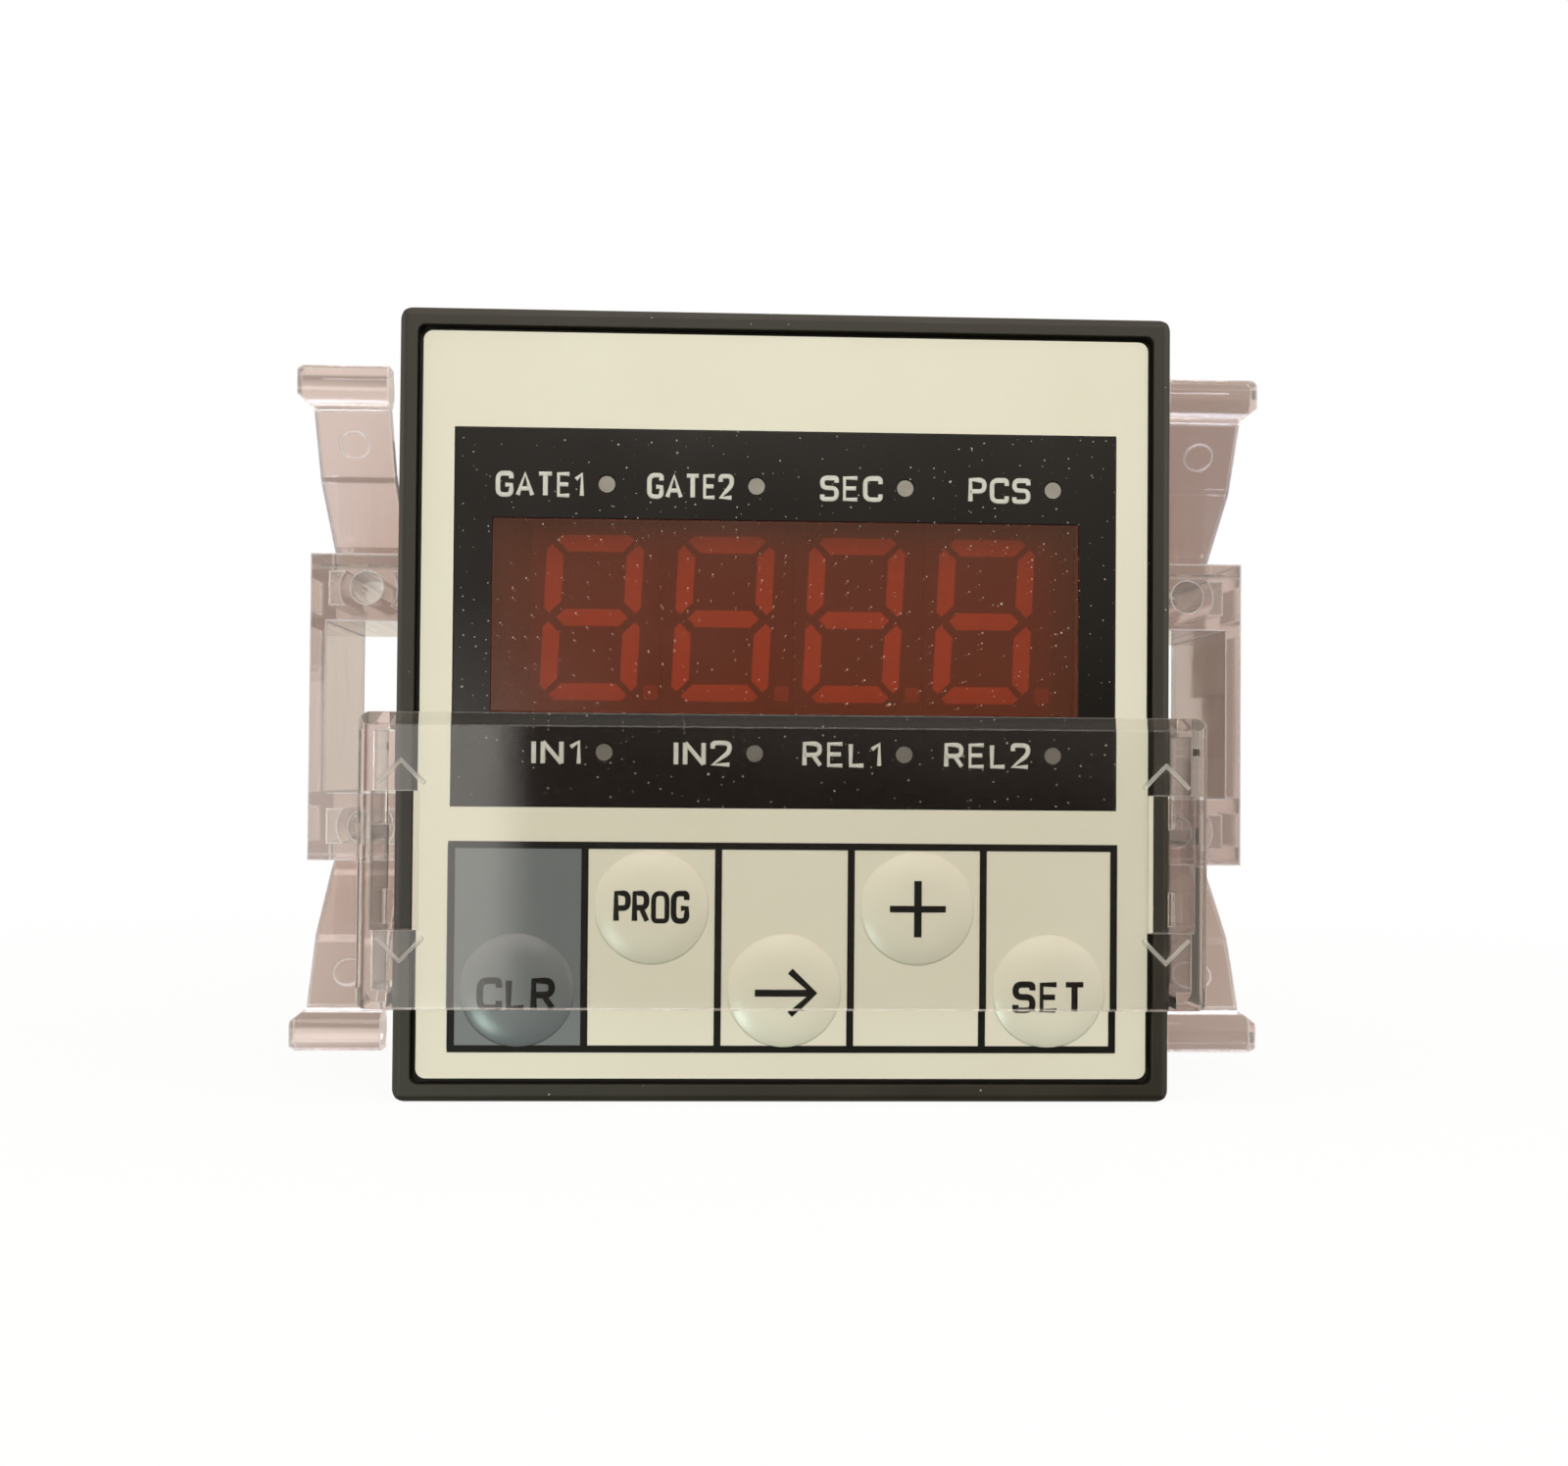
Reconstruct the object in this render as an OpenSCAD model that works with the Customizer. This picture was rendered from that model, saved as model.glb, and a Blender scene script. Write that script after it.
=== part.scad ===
// Panel counter with a sliding key guard and two spring brackets
// X is to the right, Y runs from the front to the rear, Z is up
// The origin is the centre of the panel plane, on the rear face of the bezel

/* [Bezel] */
// Width of the bezel
bezel_w = 72; // [66:0.2:90]
// Height of the bezel
bezel_h = 73.4; // [68:0.2:90]
// Depth of the bezel in front of the panel
bezel_d = 9; // [8.6:0.1:12]
// Radius of the bezel's four corners
bezel_r = 1.4; // [1:0.1:2.5]
// Rounding of the bezel's front edge
bezel_edge_r = 0.75; // [0.4:0.05:1]
// Width of the raised rim
rim_w = 1.65; // [1.2:0.05:2.2]
// Width of the dark groove between the rim and the front sheet
rim_gap = 0.5; // [0.3:0.05:0.8]
// Depth of that groove below the rim
rim_groove_d = 1.6; // [1:0.1:1.8]
// Thickness of the wall that carries the front sheet
front_wall = 2; // [1.8:0.1:2.6]
// Width of the ring beside the case that seats on the panel
seat_side = 2.2; // [2:0.1:4]
// Height of the ring above and below the case that seats on the panel
seat_top = 2.9; // [2:0.1:5]

/* [Front sheet] */
// Thickness of the printed sheet
sheet_t = 0.25; // [0.2:0.05:0.4]
// Step from the rim down to the sheet
sheet_step = 0.4; // [0.2:0.05:0.6]
// Corner radius of the sheet
sheet_r = 0.9; // [0.5:0.1:2]
// Cream margin left of and right of the dark display window
window_margin = 3.05; // [2:0.05:5]
// Cream margin above the display window
window_top = 9; // [8:0.1:10]
// Height of the dark display window
window_h = 35; // [34.4:0.1:36]
// Thickness of the display window
window_t = 0.8; // [0.5:0.1:1]

/* [Display] */
// Dark margin left of and right of the red lens
lens_margin = 3.5; // [3:0.05:4.5]
// Height of the red lens
lens_h = 17.85; // [16.5:0.05:18.5]
// Height of the lens centre above the window's centre
lens_up = 0.2; // [-0.4:0.1:0.6]
// Thickness of the lens flange behind the front wall
lens_flange_t = 1; // [0.6:0.1:1.2]
// Distance from one digit to the next
digit_pitch = 12.35; // [12.25:0.05:13]
// Sideways place of the row of digits
digit_x = 0.3; // [-0.5:0.1:0.6]
// Height of a digit's segments
digit_h = 15.6; // [14:0.1:16]
// Width of a digit's segments
digit_w = 9.1; // [7.5:0.1:9.3]
// Width of one segment
segment_w = 1.6; // [1:0.05:1.8]
// Slant of the digits in degrees
digit_slant = 2.5; // [0:0.5:8]
// Width of a digit module
module_w = 12.2; // [11.8:0.05:12.2]
// Height of a digit module
module_h = 19; // [18:0.1:20]
// Depth of a digit module
module_d = 7; // [6.4:0.1:8]

/* [Indicators] */
// Distance between the indicator columns
dot_pitch = 13.9; // [13.4:0.1:14.2]
// Sideways place of the rows of dots
dot_x = 4.05; // [3:0.05:4.4]
// Distance of the upper dots from the window's top edge
dot_down = 5.1; // [4:0.1:5.3]
// Distance of the lower dots from the window's bottom edge
dot_up = 5; // [4:0.1:5.2]
// Diameter of an indicator dot
dot_d = 1.55; // [1.2:0.05:2]
// Diameter of a light pipe
pipe_d = 2.4; // [2.1:0.1:2.6]

/* [Keys] */
// Distance from one key cell to the next
key_pitch = 12.3; // [12:0.1:12.6]
// Diameter of a key's dome
key_d = 10.2; // [9:0.1:10.6]
// Height of a key's dome above the sheet
dome_h = 0.6; // [0.5:0.05:1]
// Distance of the lower keys from the sheet's bottom edge
key_up = 8.15; // [7.5:0.05:9]
// Distance from the lower keys up to the upper keys
key_stagger = 7.7; // [7:0.1:8.5]
// Travel of a key
key_travel = 0.4; // [0.2:0.05:0.5]
// Diameter of a key's stem
stem_d = 4; // [3:0.1:5]
// Side of a key switch body
switch_w = 6; // [5.6:0.1:6.4]
// Height of a key switch body
switch_h = 3.5; // [3:0.1:3.8]

/* [Case] */
// Depth of the case behind the panel
case_d = 62; // [60:0.5:80]
// Wall of the case
case_wall = 2; // [1.6:0.1:2.2]
// Corner radius of the case
case_r = 1.5; // [1:0.1:2.5]
// How far the case enters the bezel
case_insert = 4.5; // [4.2:0.1:5]
// Number of vent slots in the top and in the bottom
vent_count = 8; // [4:1:9]
// Length of a vent slot
vent_l = 18; // [10:0.5:24]
// Width of a vent slot
vent_w = 1.6; // [1:0.1:2.4]
// Pitch of the ratchet teeth
rack_pitch = 1.6; // [1.2:0.1:2]

/* [Boards] */
// Thickness of the circuit boards
board_t = 1.6; // [1.2:0.1:1.8]
// Height of the two inner boards above and below the centre
board_z = 22; // [21.4:0.1:22.6]

/* [Terminals] */
// Distance from one terminal to the next
terminal_pitch = 9.5; // [9:0.1:9.6]
// Number of terminals in each row
terminal_count = 6; // [4:1:6]
// Height of the terminal screws above and below the centre
terminal_z = 17.5; // [17:0.1:18.5]
// Depth of the terminal barriers behind the case
barrier_d = 11; // [9:0.5:14]
// Thickness of a barrier
barrier_t = 1.6; // [1.2:0.1:1.8]
// Diameter of a terminal screw head
terminal_head_d = 6.4; // [5.6:0.1:6.8]

/* [Brackets] */
// Distance from the panel plane to the lips
bracket_set = 5; // [4.6:0.1:8]
// Depth of the bracket along the case
bracket_d = 22.7; // [20:0.1:28]
// Height of the bracket block
bracket_h = 30.4; // [30:0.1:34]
// How far the bracket block stands out from the case
bracket_reach = 12.8; // [11:0.1:15]
// Height of each screw head of the block
head_h = 6.7; // [6:0.1:7.5]
// Wall of the bracket
bracket_wall = 1.6; // [1.2:0.1:1.8]
// Bore for a clamp screw in each head
clamp_bore_d = 3.2; // [2.6:0.1:3.6]
// How far each lip stands above or below the case
lip_over = 0.2; // [-1.8:0.1:3.2]
// How far the lips stand out from the case
lip_reach = 14.4; // [13.4:0.1:17]
// Height of a lip, from its rolled nose to its top
lip_h = 4.1; // [3.6:0.1:5]
// Thickness of the flat top of a lip
lip_t = 1.9; // [1.4:0.1:2.6]
// Thickness of a spring arm
arm_t = 1.5; // [1.1:0.1:1.8]
// Width of a spring arm
arm_w = 7.5; // [5:0.1:8.4]

/* [Slide cover] */
// Air between the bezel's sides and the cover's side walls
cover_side_gap = 1.65; // [1.2:0.05:2.2]
// Height of the cover
cover_h = 27; // [24:0.1:30]
// Height of the cover's centre at rest
cover_z = -14.4; // [-16:0.1:-12]
// Thickness of the cover's front plate
cover_t = 1.6; // [1.2:0.1:2]
// Air between the bezel's rim and the cover
cover_gap = 1.1; // [1:0.1:1.6]
// Thickness of the cover's side walls
cover_wall = 1.4; // [1.1:0.1:1.6]
// Corner radius of the cover
cover_r = 1.2; // [0.8:0.1:2]
// Length of the hooks and of the openings in front of them
hook_l = 12.6; // [10:0.1:14]
// Travel of the cover upwards
cover_up = 15.5; // [8:0.1:18]
// Travel of the cover downwards
cover_down = 8.5; // [4:0.1:9]

/* [Hidden] */
$fn = 48;

// Colours
charcoal = "#45423a";
cream = "#e6dfcb";
blue_grey = "#6f777a";
smoke = "#2f2823";
lens_red = "#6b2a1c";
bar_red = "#a04632";
clear_pink = "#d9c6be";
board_green = "#2f5d43";
steel = "#b9bcbd";
brass = "#c9a64e";
black = "#26272a";
coil_amber = "#9a5b2a";
relay_blue = "#2f4f7a";

// Clearances
slip = 0.1;
key_slip = 0.15;
rail_slip = 0.2;
pawl_slip = 0.15;
hook_slip = 0.3;
over = 1;

// Levels along Y, from the front to the rear
rim_y = -bezel_d;
sheet_y = rim_y + sheet_step;
plateau_y = sheet_y + sheet_t;
groove_y = rim_y + rim_groove_d;
wall_y = plateau_y + front_wall;
lens_back_y = wall_y + lens_flange_t;
digit_setback = 0.4;
digit_y = lens_back_y + digit_setback;
board_y = digit_y + module_d;
board_back_y = board_y + board_t;
shoulder_y = -case_insert;

// Plan sizes of the front
sheet_w = bezel_w - 2 * (rim_w + rim_gap);
sheet_h = bezel_h - 2 * (rim_w + rim_gap);
rim_in_w = bezel_w - 2 * rim_w;
rim_in_h = bezel_h - 2 * rim_w;
case_w = bezel_w - 2 * seat_side;
case_h = bezel_h - 2 * seat_top;
inner_w = case_w - 2 * case_wall;
inner_h = case_h - 2 * case_wall;
window_w = sheet_w - 2 * window_margin;
window_z = sheet_h / 2 - window_top - window_h / 2;
lens_w = window_w - 2 * lens_margin;
lens_z = window_z + lens_up;
dot_z_high = window_z + window_h / 2 - dot_down;
dot_z_low = window_z - window_h / 2 + dot_up;
key_z_low = key_up - sheet_h / 2;
key_z_high = key_z_low + key_stagger;
cover_w = bezel_w + 2 * (cover_side_gap + cover_wall);

// Display details
lens_flange = 1;
bar_t = 0.4;
bar_gap = 0.4;
bar_out = 0.3;
point_d = 1.4;
point_r = 0.3;
digit_count = 4;
digit_left = 0.4;
point_off = 1;
point_x = digit_w / 2 + point_off;
dot_count = 4;
led_t = 0.8;
led_size = [2, 1.25];

// Key details
key_count = 5;
key_flange = 0.5;
key_flange_t = 0.8;
key_lift = 0.05;
plunger_d = 3.4;
plunger_h = 0.5;
plunger_in = 0.85;
switch_y = board_y - switch_h;
stem_end_y = switch_y - plunger_h;

// Grooves and racks in the sides of the case
mouth_w = 2.2;
groove_lip = 1.4;
groove_head_w = 4.6;
groove_head_t = 1.5;
groove_back = 1.4;
groove_side = 1.4;
groove_start_y = 0.5;
groove_inset = 2.7;
groove_z = bracket_h / 2 - groove_inset;
rack_w = 8;
rack_drop = 0.8;
tooth_h = 0.8;
rack_back = 1.2;
rack_start_y = 8;
rack_end = 4;
case_side_x = case_w / 2;
groove_in_x = case_side_x - groove_lip - groove_head_t - groove_back;

// Display board, with the bosses and screws that hold it
board_slip = 0.3;
board_edge = 0.8;
display_board_w = 2 * (groove_in_x - board_slip);
display_board_h = inner_h - 2 * board_edge;
boss_d = 4.4;
boss_inset = 2.4;
boss_x = display_board_w / 2 - boss_inset;
boss_rise = 6.6;
boss_drop = 8.5;
boss_z = [dot_z_high + boss_rise, dot_z_low - boss_drop];
pilot_d = 2;
pilot_l = 6;
board_screw_head = [4, 1.5];

// Snap nubs that hold the case in the bezel
nub_x = 18;
nub_w = 6;
nub_h = 0.9;
nub_y = [-3, -1.4];

// Rear wall of the case
rear_wall = 2;
slot_h = 14;
slot_z = board_z - 1;
slot_inset = 1.5;

// Inner boards
inner_board_w = inner_w - 2 * board_slip;
inner_board_air = [0.85, 1.5];
inner_board_y = [board_back_y + inner_board_air[0], case_d - rear_wall - inner_board_air[1]];
guide_w = 1.2;
guide_t = 1.1;
guide_start_y = 7;
header_pins = 10;
header_pitch = 2.54;
header_w = 2.5;
chip_size = [12, 12, 1.6];
chip_y = 20;
relay_size = [15, 19, 15];
relay_place = [14, 42];
core_size = [20, 17, 17];
core_place = [-12, 38];
core_leg = 4;
coil_d = 13;
coil_l = 12;
cap_d = 10;
cap_l = 16;
cap_place = [[14, 22], [14, 36]];

// Terminals
block_edge = [0.1, 0.8];
block_w = terminal_count * terminal_pitch + 2 * (barrier_t + block_edge[0]);
block_h = case_h - 2 * block_edge[1];
block_base = 3.2;
spine_h = 15;
spine_d = 9;
floor_y = case_d + block_base;
plate_t = 0.8;
plate_w = 6.8;
plate_low = 5.5;
plate_high = 0.4;
plate_z = [terminal_z - plate_low, board_z + board_t / 2 + plate_t + plate_high];
tail_w = 2.4;
tail_l = 12;
washer_w = 6.9;
washer_t = 0.8;
screw_head_h = 2.2;
screw_d = 3.3;
screw_slip = 0.1;
screw_l = 4;
case_screw_x = 24;
case_screw_d = 2.5;
case_screw_head = [5, 1.8];

// Brackets
base_x = case_side_x + rail_slip;
base_out_x = base_x + bracket_wall;
bracket_x = case_side_x + bracket_reach;
lip_x = case_side_x + lip_reach;
arm_off = 3.6;
arm_in_x = base_out_x + arm_off;
arm_out_x = arm_in_x + arm_w;
bracket_end_y = bracket_set + bracket_d;
tongue_neck_w = mouth_w - 2 * rail_slip;
tongue_head_w = groove_head_w - 2 * rail_slip;
tongue_head_t = groove_head_t - 2 * pawl_slip;
clamp_x = (base_out_x + bracket_x) / 2;
clamp_z = (bracket_h - head_h) / 2;
clamp_boss_wall = 1.2;
clamp_boss_d = clamp_bore_d + 2 * clamp_boss_wall;
pawl_start = 5;
pawl_tip = 3;
pawl_y = [bracket_set + pawl_start, bracket_end_y - pawl_tip];
pawl_w = 6.8;
pawl_slit = 0.8;
pawl_teeth = 3;
pawl_end = 1;
pawl_tooth_h = rack_drop + rail_slip - pawl_slip;
eject_d = 2.9;
eject_t = 0.15;
lip_span = case_h + 2 * lip_over;
lip_z = lip_span / 2;
lip_top_d = 3.4;
lip_set = 1.6;
lip_nose_r = 2;
lip_edge_r = 0.5;
lip_end_h = 2.9;
arm_root_z = bracket_h / 2 - bracket_wall / 2;
arm_root = 3.2;
arm_low_bend = [8.7, 3];
arm_high_bend = [5.9, 10.5];
arm_path = [
  [bracket_end_y - arm_root, arm_root_z],
  [bracket_end_y - arm_low_bend[0], arm_root_z + arm_low_bend[1]],
  [bracket_set + arm_high_bend[0], lip_z - arm_high_bend[1]],
  [bracket_set + lip_set, lip_z - lip_h + lip_edge_r],
  [bracket_set + lip_set, lip_z - lip_edge_r]
];

// Slide cover
cover_back_y = rim_y - cover_gap;
cover_y = cover_back_y - cover_t;
cover_end_y = -1.2;
cover_in_x = cover_w / 2 - cover_wall;
cover_edge_r = 1.1;
cover_bevel = [0.7, 1.2];
hook_y = [-4.4, -2.6];
track_d = 1.1;
track_x = bezel_w / 2 - track_d;
opening_off = 0.1;
opening_x = sheet_w / 2 + opening_off;
opening_bevel = 0.6;
hook_tab = 3.3;
chevron_w = 4.2;
chevron_h = 2.1;
chevron_line = 0.28;
chevron_t = 0.25;
chevron_in = 1;
chevron_x = bezel_w / 2 - chevron_in;
chevron_off = 0.7;
end_web = 1.6;

// Rectangle with round corners, centred
module round_rect(w, h, r) {
  square([w - 2 * r, h], center = true);
  square([w, h - 2 * r], center = true);
  for (x = [-1, 1], y = [-1, 1])
    translate([x * (w / 2 - r), y * (h / 2 - r)])
      circle(r);
}

// Flat outline in X and Z, extruded from y0 to y1
module along_y(y0, y1) {
  translate([0, y1, 0])
    rotate([90, 0, 0])
      linear_extrude(y1 - y0)
        children();
}

// Flat outline in Y and Z, extruded from x0 to x1
module along_x(x0, x1) {
  translate([x0, 0, 0])
    rotate([90, 0, 90])
      linear_extrude(x1 - x0)
        children();
}

// Flat outline in X and Y, extruded from z0 to z1
module along_z(z0, z1) {
  translate([0, 0, z0])
    linear_extrude(z1 - z0)
      children();
}

// Round bar along Y at one place of the front
module bar_y(d, y0, y1, x = 0, z = 0) {
  translate([x, y1, z])
    rotate([90, 0, 0])
      cylinder(d = d, h = y1 - y0);
}

// Box between two limits on each axis
module limits(x, y, z) {
  translate([x[0], y[0], z[0]])
    cube([x[1] - x[0], y[1] - y[0], z[1] - z[0]]);
}

// The same shape above and below the centre
module above_and_below() {
  children();
  mirror([0, 0, 1])
    children();
}

// The same shape on the right and on the left
module right_and_left() {
  children();
  mirror([1, 0, 0])
    children();
}

// Outline of a bar that follows a path with one thickness
function unit(v) = v / norm(v);
function side(a, b) = let (d = unit(b - a)) [-d[1], d[0]];
function corner_side(p, i) =
  i == 0 ? side(p[0], p[1])
  : i == len(p) - 1 ? side(p[i - 1], p[i])
  : let (m = unit(side(p[i - 1], p[i]) + side(p[i], p[i + 1]))) m / (m * side(p[i], p[i + 1]));
function ribbon(p, t) = concat(
  [for (i = [0 : len(p) - 1]) p[i] + corner_side(p, i) * t / 2],
  [for (i = [len(p) - 1 : -1 : 0]) p[i] - corner_side(p, i) * t / 2]);

// Places of the repeated pieces on the front
function digit_place(i) = digit_x + (i - (digit_count - 1) / 2) * digit_pitch;
function dot_place(i) = dot_x + (i - (dot_count - 1) / 2) * dot_pitch;
function key_place(i) = [(i - (key_count - 1) / 2) * key_pitch, i % 2 == 0 ? key_z_low : key_z_high];
function terminal_place(i) = (i - (terminal_count - 1) / 2) * terminal_pitch;

module at_dots() {
  for (i = [0 : dot_count - 1], z = [dot_z_high, dot_z_low])
    translate([dot_place(i), 0, z])
      children();
}

module at_keys() {
  for (i = [0 : key_count - 1])
    translate([key_place(i)[0], 0, key_place(i)[1]])
      children();
}

module at_terminals() {
  above_and_below()
    for (i = [0 : terminal_count - 1])
      translate([terminal_place(i), 0, 0])
        children();
}

// Outline with its two front corners rounded, for the edge of the bezel
module round_front(w, d, r) {
  translate([-w / 2, -d + r])
    square([w, d - r + over]);
  translate([-w / 2 + r, -d])
    square([w - 2 * r, r + over]);
  for (x = [-1, 1])
    translate([x * (w / 2 - r), -d + r])
      circle(r);
}

module bezel_block() {
  intersection() {
    along_y(rim_y, 0)
      round_rect(bezel_w, bezel_h, bezel_r);
    along_z(-bezel_h, bezel_h)
      round_front(bezel_w, bezel_d, bezel_edge_r);
    along_x(-bezel_w, bezel_w)
      mirror([1, -1])
        round_front(bezel_h, bezel_d, bezel_edge_r);
  }
}

module bezel_shell() {
  difference() {
    bezel_block();
    along_y(rim_y - over, groove_y)
      round_rect(rim_in_w, rim_in_h, bezel_edge_r);
    along_y(wall_y, over)
      round_rect(inner_w, inner_h, case_r);
    along_y(shoulder_y, over)
      round_rect(case_w + 2 * slip, case_h + 2 * slip, case_r);
  }
  along_y(plateau_y, wall_y)
    round_rect(sheet_w, sheet_h, sheet_r);
}

module bezel() {
  color(charcoal)
    difference() {
      union() {
        bezel_shell();
        right_and_left()
          for (z = boss_z)
            bar_y(boss_d, wall_y, board_y, boss_x, z);
        above_and_below()
          right_and_left()
            limits([nub_x - nub_w / 2, nub_x + nub_w / 2], nub_y,
              [case_h / 2 + slip - nub_h, case_h / 2 + slip + over / 2]);
      }
      along_y(plateau_y - over, sheet_y + window_t)
        translate([0, window_z])
          square([window_w + 2 * slip, window_h + 2 * slip], center = true);
      along_y(plateau_y - over, wall_y + over / 2)
        translate([0, lens_z])
          square([lens_w + 2 * slip, lens_h + 2 * slip], center = true);
      at_dots()
        bar_y(pipe_d + 2 * slip, plateau_y - over, wall_y + over);
      at_keys() {
        bar_y(key_d + 2 * key_slip, plateau_y - over, wall_y + over);
        bar_y(key_d + 2 * (key_flange + rail_slip), wall_y, shoulder_y);
      }
      right_and_left() {
        for (z = boss_z)
          bar_y(pilot_d, board_y - pilot_l, board_y + over, boss_x, z);
        limits([track_x, bezel_w], [hook_y[0] - hook_slip, hook_y[1] + hook_slip],
          [cover_z - hook_l / 2 - cover_down - hook_slip, cover_z + hook_l / 2 + cover_up + hook_slip]);
      }
    }
}

module front_sheet() {
  color(cream)
    difference() {
      along_y(sheet_y, plateau_y)
        round_rect(sheet_w, sheet_h, sheet_r);
      along_y(sheet_y - over, plateau_y + over)
        translate([0, window_z])
          square([window_w + 2 * slip, window_h + 2 * slip], center = true);
      at_keys()
        bar_y(key_d + 2 * key_slip, sheet_y - over, plateau_y + over);
    }
}

module display_window() {
  color(smoke)
    difference() {
      along_y(sheet_y, sheet_y + window_t)
        translate([0, window_z])
          square([window_w, window_h], center = true);
      along_y(sheet_y - over, sheet_y + window_t + over)
        translate([0, lens_z])
          square([lens_w + 2 * slip, lens_h + 2 * slip], center = true);
      at_dots()
        bar_y(dot_d + 2 * slip, sheet_y - over, sheet_y + window_t + over);
    }
}

module display_filter() {
  color(lens_red) {
    along_y(sheet_y, lens_back_y)
      translate([0, lens_z])
        square([lens_w, lens_h], center = true);
    along_y(wall_y, lens_back_y)
      translate([0, lens_z])
        square([lens_w + 2 * lens_flange, lens_h + 2 * lens_flange], center = true);
  }
}

// Bar of a digit, lying along X: a bevelled strip whose tips are nearer to its outer edge
function bar_points(l, out) = let (h = segment_w / 2) [
  [-l / 2, out], [h - out - l / 2, h], [l / 2 - h + out, h],
  [l / 2, out], [l / 2 - h - out, -h], [h + out - l / 2, -h]];
function turned(points, a, place) = [
  for (p = points) place + [p[0] * cos(a) - p[1] * sin(a), p[0] * sin(a) + p[1] * cos(a)]];
function slanted(points) = [for (p = points) [p[0] + p[1] * tan(digit_slant), p[1]]];

// Seven bars and the decimal point of one digit, about its centre
module digit_bars() {
  across = (digit_w - segment_w) / 2;
  rise = (digit_h - segment_w) / 2;
  flat_l = 2 * (across - bar_gap);
  tall_l = rise - 2 * bar_gap + bar_out;
  polygon(slanted(bar_points(flat_l, 0)));
  for (z = [-1, 1])
    polygon(slanted(turned(bar_points(flat_l + 2 * bar_out, bar_out), 90 - 90 * z, [0, z * rise])));
  for (x = [-1, 1], z = [-1, 1])
    polygon(slanted(turned(bar_points(tall_l, bar_out), -90 * x,
      [x * across, z * (rise + bar_out) / 2])));
  translate([point_x, -rise])
    round_rect(point_d, point_d, point_r);
}

module segments(i) {
  color(bar_red)
    along_y(digit_y, digit_y + bar_t)
      translate([digit_place(i), lens_z])
        digit_bars();
}

module digit(i) {
  color(smoke)
    difference() {
      along_y(digit_y, board_y)
        translate([digit_place(i) + digit_left, lens_z])
          square([module_w, module_h], center = true);
      along_y(digit_y - over, digit_y + bar_t)
        translate([digit_place(i), lens_z])
          digit_bars();
    }
}

module light_pipes() {
  color(clear_pink)
    at_dots() {
      bar_y(dot_d, sheet_y, sheet_y + window_t);
      bar_y(pipe_d, sheet_y + window_t, board_y - led_t);
    }
}

module indicator_leds() {
  color(cream)
    at_dots()
      limits([-led_size[0] / 2, led_size[0] / 2], [board_y - led_t, board_y],
        [-led_size[1] / 2, led_size[1] / 2]);
}

// Dome, skirt, flange and stem of one key, turned about its own axis
module key_form() {
  base_r = key_d / 2;
  dome_r = (base_r * base_r + dome_h * dome_h) / (2 * dome_h);
  flange_y = wall_y + key_lift;
  translate([0, sheet_y, 0])
    rotate([90, 0, 0])
      rotate_extrude() {
        intersection() {
          translate([0, dome_h - dome_r])
            circle(dome_r, $fn = 96);
          square([base_r, dome_h]);
        }
        translate([0, sheet_y - flange_y])
          square([base_r, flange_y - sheet_y]);
        translate([0, sheet_y - flange_y - key_flange_t])
          square([base_r + key_flange, key_flange_t]);
        translate([0, sheet_y - stem_end_y])
          square([stem_d / 2, stem_end_y - flange_y]);
      }
}

module key(i) {
  color(i == 0 ? blue_grey : cream)
    translate([key_place(i)[0], 0, key_place(i)[1]])
      key_form();
}

module plunger(i) {
  color(black)
    bar_y(plunger_d, stem_end_y, switch_y + plunger_in, key_place(i)[0], key_place(i)[1]);
}

module key_switches() {
  color(black)
    at_keys()
      difference() {
        limits([-switch_w / 2, switch_w / 2], [switch_y, board_y], [-switch_w / 2, switch_w / 2]);
        bar_y(plunger_d + 2 * key_slip, switch_y - over, switch_y + plunger_in + key_travel + key_slip);
      }
}

module display_board() {
  color(board_green)
    difference() {
      limits([-display_board_w / 2, display_board_w / 2], [board_y, board_back_y],
        [-display_board_h / 2, display_board_h / 2]);
      right_and_left()
        for (z = boss_z)
          bar_y(pilot_d + 2 * key_slip, board_y - over, board_back_y + over, boss_x, z);
    }
}

module board_screws() {
  color(steel)
    right_and_left()
      for (z = boss_z) {
        bar_y(pilot_d, board_y - pilot_l + over, board_back_y, boss_x, z);
        bar_y(board_screw_head[0], board_back_y, board_back_y + board_screw_head[1], boss_x, z);
      }
}

// Flat inner board, component side towards the centre
module inner_board() {
  color(board_green)
    limits([-inner_board_w / 2, inner_board_w / 2], inner_board_y,
      [board_z - board_t / 2, board_z + board_t / 2]);
}

module power_board() {
  inner_board();
}

module main_board() {
  mirror([0, 0, 1])
    inner_board();
}

// Angled pin rows that join each inner board to the display board
module board_headers() {
  body_y = inner_board_y[0];
  face_z = board_z - board_t / 2;
  row_l = header_pins * header_pitch;
  color(black)
    above_and_below()
      limits([-row_l / 2, row_l / 2], [board_back_y, body_y + header_w], [face_z - header_w, face_z]);
}

module on_main_board(x, y) {
  translate([x, y, -board_z + board_t / 2])
    children();
}

module under_power_board(x, y) {
  translate([x, y, board_z - board_t / 2])
    mirror([0, 0, 1])
      children();
}

module microcontroller() {
  color(black)
    on_main_board(0, chip_y)
      translate([-chip_size[0] / 2, -chip_size[1] / 2, 0])
        cube(chip_size);
}

module relay(side) {
  color(relay_blue)
    on_main_board(side * relay_place[0], relay_place[1])
      translate([-relay_size[0] / 2, -relay_size[1] / 2, 0])
        cube(relay_size);
}

// Core with two windows, and the coil wound on its middle leg
module transformer_core() {
  color(black)
    under_power_board(core_place[0], core_place[1])
      difference() {
        translate([-core_size[0] / 2, -core_size[1] / 2, 0])
          cube(core_size);
        translate([0, 0, core_size[2] / 2])
          rotate([90, 0, 0])
            cylinder(d = coil_d + 2 * key_slip, h = coil_l + 2 * key_slip, center = true);
        translate([0, 0, core_size[2] - core_leg])
          limits([-core_size[0], core_size[0]], [-coil_l / 2 - key_slip, coil_l / 2 + key_slip],
            [0, over + core_leg]);
      }
}

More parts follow.
